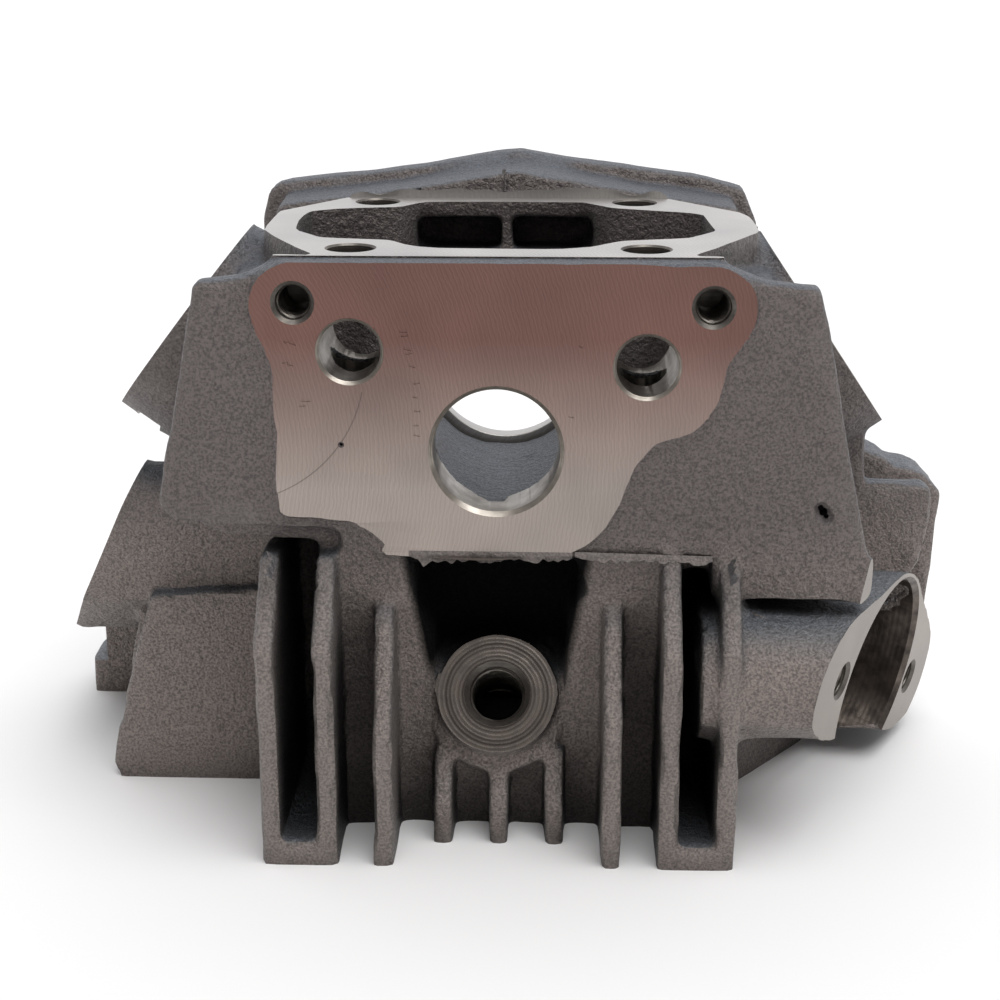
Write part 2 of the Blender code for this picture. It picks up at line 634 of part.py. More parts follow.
def collet_profile():
    seat = RETAINER_SEAT
    inner = STEM_RADIUS + GAP
    bead = 2.3
    tip = VALVE_LENGTH
    return [(inner, seat + 3.6), (4.45, seat + 3.6), (3.25, seat - 2.4), (inner, seat - 2.4),
            (inner, tip - 7.5), (bead, tip - 7.0), (bead, tip - 6.2), (inner, tip - 5.7)]


def make_spring(name, size, low, high, collection):
    """A round-wire coil between two heights, with one closed turn at each end."""
    wire, turns = size["wire"], size["turns"]
    start, end = low + wire, high - wire
    closed = 2.15 * wire
    middle = (end - start - 2 * closed) / (turns - 2)
    per_turn = 10
    curve = bpy.data.curves.new(name, "CURVE")
    curve.dimensions = "3D"
    curve.bevel_depth = wire * MM
    curve.bevel_resolution = 2
    curve.use_fill_caps = True
    spline = curve.splines.new("POLY")
    count = per_turn * turns + 1
    spline.points.add(count - 1)
    for index, point in enumerate(spline.points):
        turn = index / per_turn
        first = min(turn, 1.0)
        last = max(turn - (turns - 1), 0.0)
        height = start + first * closed + (turn - first - last) * middle + last * closed
        angle = 2 * math.pi * turn
        point.co = (size["radius"] * math.cos(angle) * MM, size["radius"] * math.sin(angle) * MM,
                    height * MM, 1.0)
    item = bpy.data.objects.new(name, curve)
    collection.objects.link(item)
    return item


def make_clip(name, height, collection):
    """A round-wire snap ring with a gap, in the guide's groove."""
    curve = bpy.data.curves.new(name, "CURVE")
    curve.dimensions = "3D"
    curve.bevel_depth = 0.75 * MM
    curve.bevel_resolution = 2
    curve.use_fill_caps = True
    spline = curve.splines.new("POLY")
    points = arc((0, 0), 5.1, 20, 340, 16)
    spline.points.add(len(points) - 1)
    for point, (across, along) in zip(spline.points, points):
        point.co = (across * MM, along * MM, height * MM, 1.0)
    item = bpy.data.objects.new(name, curve)
    collection.objects.link(item)
    return item


def split_collet(item, front, cutters):
    """Keep one half of a collet, with a saw cut's gap between the halves."""
    edge = -0.35 if front else 0.35
    low = (-8, edge, RETAINER_SEAT - 5) if front else (-8, -8, RETAINER_SEAT - 5)
    high = (8, 8, RETAINER_SEAT + 6) if front else (8, edge, RETAINER_SEAT + 6)
    cutter = make_box(item.name + "_split", low, high, cutters)
    cutter.parent = item.parent
    boolean = item.modifiers.new("split", "BOOLEAN")
    boolean.operation = "DIFFERENCE"
    boolean.object = cutter
    boolean.solver = "EXACT"


def build_valve_gear(side, part, cutters, base, materials):
    """One valve with its seat, guide, seal, springs, retainer and collets, on its own axis."""
    axis = bpy.data.objects.new(f"{side}_valve_axis", None)
    part.objects.link(axis)
    axis.empty_display_size = 0.02
    axis.location = to_metres(valve_base(side))
    lean = VALVE_ANGLE if side == "exhaust" else -VALVE_ANGLE
    axis.rotation_euler = (0.0, math.radians(lean), 0.0)
    axis.parent = base
    spring_low = POCKET_FLOOR + GAP + 1.6 + GAP
    spring_high = RETAINER_SEAT - GAP
    inner_high = spring_high - 0.9
    pieces = {
        "valve": make_turned(f"{side}_valve", valve_profile(side), part, 20),
        "seat": make_turned(f"{side}_valve_seat", seat_profile(side), part, 24),
        "guide": make_turned(f"{side}_valve_guide", guide_profile(), part, 16),
        "clip": make_clip(f"{side}_guide_clip", POCKET_FLOOR + 1.1, part),
        "seal": make_turned(f"{side}_stem_seal", seal_profile(), part, 16),
        "spring_seat": make_turned(f"{side}_spring_seat", spring_seat_profile(), part, 20),
        "outer_spring": make_spring(f"{side}_outer_spring", OUTER_SPRING, spring_low, spring_high, part),
        "inner_spring": make_spring(f"{side}_inner_spring", INNER_SPRING, spring_low, inner_high, part),
        "retainer": make_turned(f"{side}_spring_retainer", retainer_profile(), part, 20),
        "collet": make_turned(f"{side}_collet_front", collet_profile(), part, 16),
        "collet_rear": make_turned(f"{side}_collet_rear", collet_profile(), part, 16),
    }
    for kind, item in pieces.items():
        item.parent = axis
        item.data.materials.append(materials[kind.split("_")[0] if kind == "collet_rear" else kind])
    bpy.context.view_layer.update()
    split_collet(pieces["collet"], True, cutters)
    split_collet(pieces["collet_rear"], False, cutters)
    for kind, item in pieces.items():
        if item.type == "MESH":
            item.data.shade_smooth()


def centre_on_base(base, casting):
    """Move everything so that the origin is the middle of the casting's underside."""
    bpy.context.view_layer.update()
    graph = bpy.context.evaluated_depsgraph_get()
    mesh = casting.evaluated_get(graph).to_mesh()
    points = [casting.matrix_world @ vertex.co for vertex in mesh.vertices]
    middle = [(min(p[axis] for p in points) + max(p[axis] for p in points)) / 2 for axis in (0, 1)]
    floor = min(point.z for point in points)
    casting.evaluated_get(graph).to_mesh_clear()
    base.location = (-middle[0], -middle[1], -floor)


PART_NAME = "cylinder_head"

clear_scene()
part_collection = new_collection(PART_NAME)
cutter_collection = new_collection("cutters")
head_base = bpy.data.objects.new("head_base", None)
part_collection.objects.link(head_base)
build_casting(part_collection, head_base)
gear_materials = {
    "valve": make_material("valve_steel", (0.42, 0.40, 0.38), 0.35, 1.0),
    "seat": make_material("sintered_seat", (0.33, 0.32, 0.31), 0.4, 1.0),
    "guide": make_material("guide_bronze", (0.55, 0.38, 0.2), 0.4, 1.0),
    "clip": make_material("clip_steel", (0.25, 0.25, 0.26), 0.4, 1.0),
    "seal": make_material("seal_rubber", (0.05, 0.12, 0.06), 0.6, 0.0),
    "spring_seat": make_material("washer_steel", (0.35, 0.35, 0.36), 0.4, 1.0),
    "outer_spring": make_material("spring_steel", (0.16, 0.16, 0.17), 0.35, 1.0),
    "inner_spring": make_material("inner_spring_steel", (0.18, 0.18, 0.19), 0.35, 1.0),
    "retainer": make_material("retainer_steel", (0.3, 0.3, 0.31), 0.35, 1.0),
    "collet": make_material("collet_steel", (0.28, 0.27, 0.26), 0.4, 1.0),
}
for valve_side in ("intake", "exhaust"):
    build_valve_gear(valve_side, part_collection, cutter_collection, head_base, gear_materials)
centre_on_base(head_base, bpy.data.objects["head_casting"])
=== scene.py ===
import json
import math

import bmesh
import bpy
import numpy as np
import openvdb
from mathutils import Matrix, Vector

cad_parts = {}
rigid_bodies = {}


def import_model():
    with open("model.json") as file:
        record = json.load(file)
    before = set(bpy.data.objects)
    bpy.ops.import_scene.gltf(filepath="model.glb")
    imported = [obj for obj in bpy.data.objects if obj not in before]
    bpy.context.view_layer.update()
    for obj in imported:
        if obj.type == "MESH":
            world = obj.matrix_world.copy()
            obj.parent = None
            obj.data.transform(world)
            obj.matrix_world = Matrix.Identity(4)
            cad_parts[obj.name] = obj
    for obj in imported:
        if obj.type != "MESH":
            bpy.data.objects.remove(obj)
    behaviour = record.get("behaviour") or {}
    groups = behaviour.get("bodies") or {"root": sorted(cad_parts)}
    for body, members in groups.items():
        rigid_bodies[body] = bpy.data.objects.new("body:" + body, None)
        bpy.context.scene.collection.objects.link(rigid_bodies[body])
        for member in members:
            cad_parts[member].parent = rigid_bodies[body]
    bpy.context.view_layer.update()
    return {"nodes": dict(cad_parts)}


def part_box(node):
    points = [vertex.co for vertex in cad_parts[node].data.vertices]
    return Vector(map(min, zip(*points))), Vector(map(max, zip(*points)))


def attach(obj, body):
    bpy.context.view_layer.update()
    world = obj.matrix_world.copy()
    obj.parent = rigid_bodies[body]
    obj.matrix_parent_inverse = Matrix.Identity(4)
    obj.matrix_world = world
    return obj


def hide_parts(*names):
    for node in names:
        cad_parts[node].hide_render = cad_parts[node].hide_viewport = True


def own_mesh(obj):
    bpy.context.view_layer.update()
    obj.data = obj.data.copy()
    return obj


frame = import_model()
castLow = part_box("head_casting")[0]
mm = 0.001
boreFromCorner = (0.088, 0.0475, 0.0)    # the bore's centre on the gasket face, from the casting's low corner
boreAxis = np.array(castLow) + np.array(boreFromCorner)
print("frame loaded")


# shared helpers; shapes are worked out in millimetres from the bore axis, +Y towards the cam chain

def inFrame(points):
    return np.asarray(points, float) * mm + boreAxis


def unit(v):
    v = np.asarray(v, float)
    return v / np.linalg.norm(v)


def sideways(direction):    # two unit vectors square to a direction and to each other
    helper = (0.0, 1.0, 0.0) if abs(direction[1]) < 0.9 else (1.0, 0.0, 0.0)
    first = unit(np.cross(direction, helper))
    return first, np.cross(direction, first)


def meshObject(name, points, faces, smoothAngle=40.0):
    mesh = bpy.data.meshes.new(name)
    mesh.from_pydata(inFrame(points), [], faces)
    tidy = bmesh.new()
    tidy.from_mesh(mesh)
    bmesh.ops.remove_doubles(tidy, verts=tidy.verts, dist=1e-7)
    bmesh.ops.recalc_face_normals(tidy, faces=tidy.faces)
    tidy.to_mesh(mesh)
    tidy.free()
    mesh.shade_smooth()
    mesh.set_sharp_from_angle(angle=math.radians(smoothAngle))
    item = bpy.data.objects.new(name, mesh)
    bpy.context.scene.collection.objects.link(item)
    return item


def gridFaces(rows, columns, rowsClosed, columnsClosed):    # quads over a grid of rows x columns points
    i = np.arange(rows if rowsClosed else rows - 1)[:, None]
    j = np.arange(columns if columnsClosed else columns - 1)[None, :]
    a, b = i * columns + j, i * columns + (j + 1) % columns
    c, d = ((i + 1) % rows) * columns + (j + 1) % columns, ((i + 1) % rows) * columns + j
    return np.stack([a, b, c, d], -1).reshape(-1, 4)


def roundedProfile(corners, radius, steps=3, closed=True):
    # each corner becomes a short quadratic curve that starts and ends "radius" before and after it
    p = np.asarray(corners, float)
    before, after = np.roll(p, 1, 0), np.roll(p, -1, 0)
    toBefore, toAfter = before - p, after - p
    lengthBefore = np.linalg.norm(toBefore, axis=1, keepdims=True)
    lengthAfter = np.linalg.norm(toAfter, axis=1, keepdims=True)
    start = p + toBefore / np.maximum(lengthBefore, 1e-9) * np.minimum(radius, lengthBefore * 0.45)
    end = p + toAfter / np.maximum(lengthAfter, 1e-9) * np.minimum(radius, lengthAfter * 0.45)
    t = np.linspace(0, 1, steps + 1)[None, :, None]
    curve = (1 - t) ** 2 * start[:, None] + 2 * t * (1 - t) * p[:, None] + t ** 2 * end[:, None]
    if closed:
        return curve.reshape(-1, 2)
    return np.vstack([p[:1], curve[1:-1].reshape(-1, 2), p[-1:]])


def turnedPoints(profile, origin, direction, sides):
    # point = origin + direction * height + (across * cos(a) + over * sin(a)) * radius
    across, over = sideways(unit(direction))
    a = np.linspace(0, 2 * math.pi, sides, endpoint=False)
    ring = np.cos(a)[:, None] * across + np.sin(a)[:, None] * over
    profile = np.asarray(profile, float)
    points = profile[:, 1, None, None] * unit(direction) + profile[:, 0, None, None] * ring
    return (points + np.asarray(origin, float)).reshape(-1, 3)


def turnedPiece(name, profile, origin, direction, sides=96, closed=True):
    faces = gridFaces(len(profile), sides, closed, True)
    return meshObject(name, turnedPoints(profile, origin, direction, sides), faces)


# places the casting and the valve gear share

valve = {
    "angle": 30.0, "plane": 3.0, "length": 70.0, "stem": 2.5, "head": {"intake": 11.25, "exhaust": 10.0},
    "chamberRadius": 25.0, "chamberDepth": 17.0, "clearance": 0.3, "seatWall": 1.75, "throatWall": 1.65,
    "guideRadius": 4.5,
}


def stemDirection(side):
    lean = math.radians(valve["angle"]) * (1 if side == "exhaust" else -1)
    return np.array([math.sin(lean), 0.0, math.cos(lean)])


def onStem(side, distance):    # a point on a valve's axis, measured from the underside of its head
    sphere = (valve["chamberRadius"] ** 2 + valve["chamberDepth"] ** 2) / (2 * valve["chamberDepth"])
    reach = math.sqrt(sphere ** 2 - valve["head"][side] ** 2) - valve["clearance"]
    centre = np.array([0.0, valve["plane"], valve["chamberDepth"] - sphere])
    return centre + stemDirection(side) * (reach + distance)


tappet = {
    "radius": 20.8, "hole": 14.5, "reach": {"intake": 17.7, "exhaust": 16.2},
    "rise": {"intake": 4.7, "exhaust": 3.9}, "tilt": {"intake": 37.7, "exhaust": 34.5},
}


def tappetAxis(side):    # centre of a tappet boss's face, and the way it faces
    tilt, sign = math.radians(tappet["tilt"][side]), 1 if side == "exhaust" else -1
    out = np.array([sign * math.cos(tilt), 0.0, math.sin(tilt)])
    up = np.array([-sign * math.sin(tilt), 0.0, math.cos(tilt)])
    return onStem(side, valve["length"] + 1.5) + out * tappet["reach"][side] + up * tappet["rise"][side], out


flange = {
    "intake": {"at": (-77.2, 9.0, 39.5), "out": (-0.90, 0.0, 0.44), "studs": (0.31, -0.707, 0.636),
               "reach": 21.0, "across": 20.0, "along": 32.0},
    "exhaust": {"at": (70.6, -15.0, 22.6), "out": (0.863, -0.483, -0.146), "studs": (0.413, 0.843, -0.346),
                "reach": 24.6, "across": 24.0, "along": 39.0},
}


def flangeAxes(side):    # centre, outward normal, line through the studs, line across them
    out = unit(flange[side]["out"])
    studs = np.array(flange[side]["studs"])
    studs = unit(studs - out * studs.dot(out))
    return np.array(flange[side]["at"]), out, studs, np.cross(out, studs)


# the casting's rough body: a distance field of the solid, with its edges and corners rounded

casting = {
    "voxel": 0.62, "halfBand": 8, "low": (-92.0, -52.0, -6.0), "high": (91.0, 60.0, 116.0),
    "edgeRound": 0.55, "cornerFillet": 2.4, "filletBias": 0.42, "waviness": 0.12, "wavePitch": 7.0,
    "inset": 1.0, "stock": 3.6, "adaptivity": 0.12,
}


def mergedCopy(node):    # points in millimetres and triangles of a CAD node, its loose triangles joined
    shape = bmesh.new()
    shape.from_mesh(frame["nodes"][node].data)
    bmesh.ops.remove_doubles(shape, verts=shape.verts, dist=1e-7)
    bmesh.ops.triangulate(shape, faces=shape.faces)
    points = np.array([v.co for v in shape.verts], float)
    triangles = np.array([[v.index for v in f.verts] for f in shape.faces], np.uint32)
    shape.free()
    return ((points - boreAxis) / mm).astype(np.float32), triangles


def distanceField(points, triangles):    # negative inside, clipped at the band's half width
    voxel = casting["voxel"]
    transform = openvdb.createLinearTransform(voxelSize=voxel)
    grid = openvdb.FloatGrid.createLevelSetFromPolygons(
        points, triangles=triangles, transform=transform, halfWidth=casting["halfBand"])
    low = np.round(np.array(casting["low"]) / voxel).astype(int)
    high = np.round(np.array(casting["high"]) / voxel).astype(int)
    field = np.empty(tuple(high - low), np.float32)
    grid.copyToArray(field, ijk=tuple(int(v) for v in low))
    return field, low


def blurred(field, sigma):    # Gaussian blur, one axis after another
    reach = int(math.ceil(2.6 * sigma))
    weights = np.exp(-0.5 * (np.arange(-reach, reach + 1) / sigma) ** 2).astype(np.float32)
    weights /= weights.sum()
    for axis in range(3):
        pad = [(reach, reach) if a == axis else (0, 0) for a in range(3)]
        wide = np.pad(field, pad, mode="edge")
        total = np.zeros_like(field)
        for step, weight in enumerate(weights):
            part = [slice(None)] * 3
            part[axis] = slice(step, step + field.shape[axis])
            total += wide[tuple(part)] * weight
        field = total
    return field


def softNoise(shape, cell, seed):    # random values on a coarse grid, blended linearly between its points
    rng = np.random.default_rng(seed)
    noise = rng.standard_normal([int(n / cell) + 2 for n in shape]).astype(np.float32)
    for axis, count in enumerate(shape):
        at = np.arange(count) / cell
        first = at.astype(int)
        share = (at - first).astype(np.float32)
        share = share * share * (3 - 2 * share)
        form = [-1 if a == axis else 1 for a in range(3)]
        share = share.reshape(form)
        noise = np.take(noise, first, axis) * (1 - share) + np.take(noise, first + 1, axis) * share
    return noise


def sampled(field, index):    # trilinear values of a field at fractional indices (n x 3)
    index = np.clip(index, 0, np.array(field.shape) - 1.001)
    base = index.astype(int)
    f = (index - base).astype(np.float32)
    value = np.zeros(len(index), np.float32)
    for corner in range(8):
        bits = np.array([(corner >> k) & 1 for k in range(3)])
        weight = np.prod(np.where(bits, f, 1 - f), axis=1)
        x, y, z = (base + bits).T
        value += field[x, y, z] * weight
    return value


planes = {"top": 105.0, "side": -37.0, "chain": 55.0}    # heights and places of the milled faces

machining = {
    "studs": {"half": 25.0, "radius": 4.05, "chamfer": 0.35},
    "camFront": {"height": 72.7, "radius": 10.7, "chamfer": 0.75},
    "camChain": {"height": 72.0, "radius": 22.05, "chamfer": 0.6},
    "chainCover": {"height": 69.0, "radius": 31.05, "boltCircle": 37.5, "bolt": 2.55,
                   "angles": (48, 132, 270)},
    "rockers": {"places": ((-24.3, 89.8), (25.0, 87.5)), "radius": 5.15, "chamfer": 0.55},
    "coverBolts": {"places": ((-33.5, 98.0), (35.6, 97.6)), "radius": 3.0, "chamfer": 0.65, "depth": 13.0},
    "plug": {"seat": (0.0, -33.0, 26.7), "entry": (0.0, -14.0, 14.4), "radius": 5.0, "seatRadius": 10.65},
    "exhaustRecess": {"radius": 19.15, "depth": 11.0, "chamfer": 0.9},
    "flangeStud": {"radius": 3.0, "depth": 14.0, "chamfer": 0.6},
}

machinedFaces = {    # each machined plane: a point on it, its outward normal, and the box it is extended in
    "gasket": {"at": (0, 0, 0), "out": (0, 0, -1), "low": (-91, -51, -6), "high": (91, 60, 1.4)},
    "topCover": {"at": (0, 0, planes["top"]), "out": (0, 0, 1), "low": (-50, -32.3, 103.6),
                 "high": (52, 30.0, 110)},
    "chainCover": {"at": (0, planes["chain"], 60), "out": (0, 1, 0), "low": (-60, 53.5, -4),
                   "high": (60, 60, 116)},
}

plugSeat = np.array(machining["plug"]["seat"])
plugInward = unit(np.array(machining["plug"]["entry"]) - plugSeat)    # from the seat down the plug hole


def chainBolts():    # mouths of the chain cover's bolt holes
    cover = machining["chainCover"]
    for angle in cover["angles"]:
        turn = math.radians(angle)
        height = cover["height"] + cover["boltCircle"] * math.sin(turn)
        yield cover["boltCircle"] * math.cos(turn), planes["chain"], height


def flangeBolts(side):    # mouths of a flange's two stud holes
    at, _, studs, _ = flangeAxes(side)
    return [at + studs * flange[side]["reach"] * sign for sign in (-1, 1)]


def addStock(field, low, face):    # carries the section just under a machined face outwards, to be cut off
    voxel, inset = casting["voxel"], casting["inset"]
    start = np.maximum(np.floor(np.array(face["low"]) / voxel).astype(int) - low, 0)
    stop = np.minimum(np.ceil(np.array(face["high"]) / voxel).astype(int) - low, field.shape)
    axes = [(np.arange(a, b) + c) * voxel for a, b, c in zip(start, stop, low)]
    p = np.stack(np.meshgrid(*axes, indexing="ij"), -1).reshape(-1, 3)
    out = np.asarray(face["out"], float)
    depth = (p - np.asarray(face["at"], float)) @ out
    keep = depth > -inset
    if "along" in face:
        local = p - np.asarray(face["at"], float)
        keep &= np.abs(local @ face["studs"]) < face["along"]
        keep &= np.abs(local @ face["over"]) < face["across"]
        keep &= depth < casting["stock"]
    p, depth = p[keep], depth[keep]
    source = (p - out * (depth + inset)[:, None]) / voxel - low
    target = np.round(p / voxel).astype(int) - low
    field[target[:, 0], target[:, 1], target[:, 2]] = sampled(field, source)


def padOutline():    # the milled side-cover face: lobes round two bolts, then the ragged edge the mill left
    a = np.radians(np.linspace(92, 214, 9))
    left = np.stack([-33.5 + 6.9 * np.cos(a), 97.6 + 6.8 * np.sin(a)], 1)
    b = np.radians(np.linspace(-42, 88, 9))
    right = np.stack([35.6 + 6.9 * np.cos(b), 97.2 + 6.8 * np.sin(b)], 1)
    top = np.array([(23.3, 104.3), (3.9, 104.55), (-20, 104.4)])
    lower = np.array([
        (38.4, 90.3), (37.3, 87.2), (36.1, 82.1), (34.7, 79.5), (32.3, 77.7), (28.2, 76.3), (24.1, 73.9),
        (22.2, 69.8), (20.9, 64.5), (19.6, 61.4), (17.6, 59.1), (14.4, 56.4), (11.8, 54.9), (12.5, 54.2),
        (-14.6, 54.0), (-16.5, 54.3), (-20.5, 54.6), (-18.2, 55.6), (-17.1, 57.3), (-19.8, 59.4),
        (-23.2, 60.4), (-30.2, 60.9), (-36.7, 61.6), (-36.5, 74.6), (-36.7, 86.7), (-37.4, 90.4)])
    return np.vstack([left[::-1], top[::-1], right[::-1], lower])


def polygonDistance(x, z, outline):    # signed distance from points to a closed outline, negative inside
    best = np.full(x.shape, 1e9)
    inside = np.zeros(x.shape, bool)
    for (ax, az), (bx, bz) in zip(outline, np.roll(outline, -1, 0)):
        dx, dz = bx - ax, bz - az
        t = np.clip(((x - ax) * dx + (z - az) * dz) / (dx * dx + dz * dz), 0, 1)
        best = np.minimum(best, np.hypot(x - ax - t * dx, z - az - t * dz))
        crosses = ((az > z) != (bz > z)) & (x < (z - az) * dx / (dz if dz else 1e-9) + ax)
        inside ^= crosses
    return np.where(inside, -best, best)


def addPadStock(field, low):    # the pad's outline carried forward of the milled plane
    voxel = casting["voxel"]
    x = (np.arange(field.shape[0]) + low[0]) * voxel
    z = (np.arange(field.shape[2]) + low[2]) * voxel
    flat = polygonDistance(*np.meshgrid(x, z, indexing="ij"), padOutline())
    y = (np.arange(field.shape[1]) + low[1]) * voxel
    slab = np.abs(y + 37.2) - 3.0
    pad = np.maximum(flat[:, None, :], slab[None, :, None])
    np.minimum(field, pad.astype(np.float32), out=field)


def addPlugStock(field, low):    # the plug boss stands a little proud until its seat is turned
    voxel, reach, middle, half = casting["voxel"], 16, 1.0, 3.2
    start = np.maximum(np.floor((plugSeat - reach) / voxel).astype(int) - low, 0)
    stop = np.ceil((plugSeat + reach) / voxel).astype(int) - low
    axes = [(np.arange(a, b) + c) * voxel for a, b, c in zip(start, stop, low)]
    p = np.stack(np.meshgrid(*axes, indexing="ij"), -1) - plugSeat
    along = p @ plugInward
    across = np.linalg.norm(p - along[..., None] * plugInward, axis=-1)
    boss = np.maximum(across - machining["plug"]["seatRadius"], np.abs(along - middle) - half)
    block = field[start[0]:stop[0], start[1]:stop[1], start[2]:stop[2]]
    np.minimum(block, boss.astype(np.float32), out=block)


def castBody():
    points, triangles = mergedCopy("head_casting")
    field, low = distanceField(points, triangles)
    voxel = casting["voxel"]
    for face in machinedFaces.values():
        addStock(field, low, face)
    for side in ("intake", "exhaust"):
        at, out, studs, over = flangeAxes(side)
        reach = flange[side]["along"] + 2
        addStock(field, low, {"at": at, "out": out, "studs": studs, "over": over, "low": at - reach,
                              "high": at + reach, "along": flange[side]["along"],
                              "across": flange[side]["across"]})
        at, out = tappetAxis(side)
        studs, over = sideways(out)
        wide = tappet["radius"] + 1.5
        addStock(field, low, {"at": at, "out": out, "studs": studs, "over": over, "low": at - wide - 3,
                              "high": at + wide + 3, "along": wide, "across": wide})
    addPlugStock(field, low)
    addPadStock(field, low)
    fine = blurred(field, casting["edgeRound"] / voxel)
    soft = blurred(field, casting["cornerFillet"] / voxel)
    field = np.minimum(fine, soft + casting["filletBias"])
    wave = softNoise(field.shape, casting["wavePitch"] / voxel, 5)
    wave += 0.6 * softNoise(field.shape, casting["wavePitch"] / voxel / 2.3, 6)
    field += (casting["waviness"] * wave).astype(np.float32)
    grid = openvdb.FloatGrid()
    grid.transform = openvdb.createLinearTransform(voxelSize=voxel)
    grid.background = float(casting["halfBand"] * voxel)
    grid.copyFromArray(field, ijk=tuple(int(v) for v in low))
    points, tris, quads = grid.convertToPolygons(adaptivity=casting["adaptivity"])
    print("cast body:", len(points), "points,", len(tris) + 2 * len(quads), "triangles")
    return points, [tuple(f) for f in tris.tolist()] + [tuple(f) for f in quads.tolist()]


# machining: cutters take the stock off, and each leaves its own finish on the cut

cuttersGroup = bpy.data.collections.new("cutters")
finishes = {name: bpy.data.materials.new(name) for name in (
    "dieCastAluminium", "milledSideFace", "milledTopFace", "milledFlange", "boredWall", "turnedPlugSeat",
    "drilledHole", "exhaustRecessWall", "cutThread", "tornFlash")}

marks = {    # knocks and gas pores on the front
    "dents": (    # X, Z and width
        (-15.3, 93.4, 0.8), (-15.1, 92.7, 0.7), (-14.6, 90.4, 0.8), (-14.4, 89.7, 0.7), (-13.9, 87.5, 0.7),
        (-13.2, 84.6, 0.6), (-13.5, 82.2, 0.5), (-13.2, 79.8, 0.6), (-13.4, 77.3, 0.5), (-13.3, 75.6, 0.6),
        (-34.4, 91.6, 0.8), (-33.6, 91.2, 0.7), (-35.0, 88.0, 0.6), (-34.2, 87.6, 0.6), (-31.8, 81.5, 0.9),
        (-32.4, 80.6, 0.6), (12.5, 79.0, 0.5), (-20.4, 93.8, 0.5), (14.0, 91.0, 0.5)),
    "pores": (    # place, radius and depth
        ((-26.1, -36.9, 73.8), 0.24, 1.5), ((55.5, -35.6, 62.2), 0.75, 2.6),
        ((55.0, -35.6, 62.9), 0.5, 2.2), ((56.0, -35.6, 61.4), 0.45, 1.8)),
}


def cutter(item, finish):
    item.data.materials.append(finishes[finish])
    bpy.context.scene.collection.objects.unlink(item)
    cuttersGroup.objects.link(item)


def drill(name, mouth, out, radius, depth, chamfer, finish, through=False, sides=72):
    over = 2.5
    wide = radius + chamfer + over
    profile = [(0, over), (wide, over), (radius, -chamfer), (radius, -depth), (0, -depth)]
    if through:
        profile[3:] = [(radius, chamfer - depth), (wide, -depth - over), (0, -depth - over)]
    cutter(turnedPiece(name, profile, mouth, out, sides, closed=False), finish)


def planer(name, at, out, size, finish, turn=None):    # a block that planes off everything past a face
    across, over = turn if turn is not None else sideways(unit(out))
    corners = [at + across * size[0] * i + over * size[1] * j + unit(out) * size[2] * k
               for k in (0, 1) for i, j in ((-1, -1), (1, -1), (1, 1), (-1, 1))]
    faces = [(0, 1, 2, 3), (4, 7, 6, 5), (0, 4, 5, 1), (1, 5, 6, 2), (2, 6, 7, 3), (3, 7, 4, 0)]
    cutter(meshObject(name, corners, faces), finish)


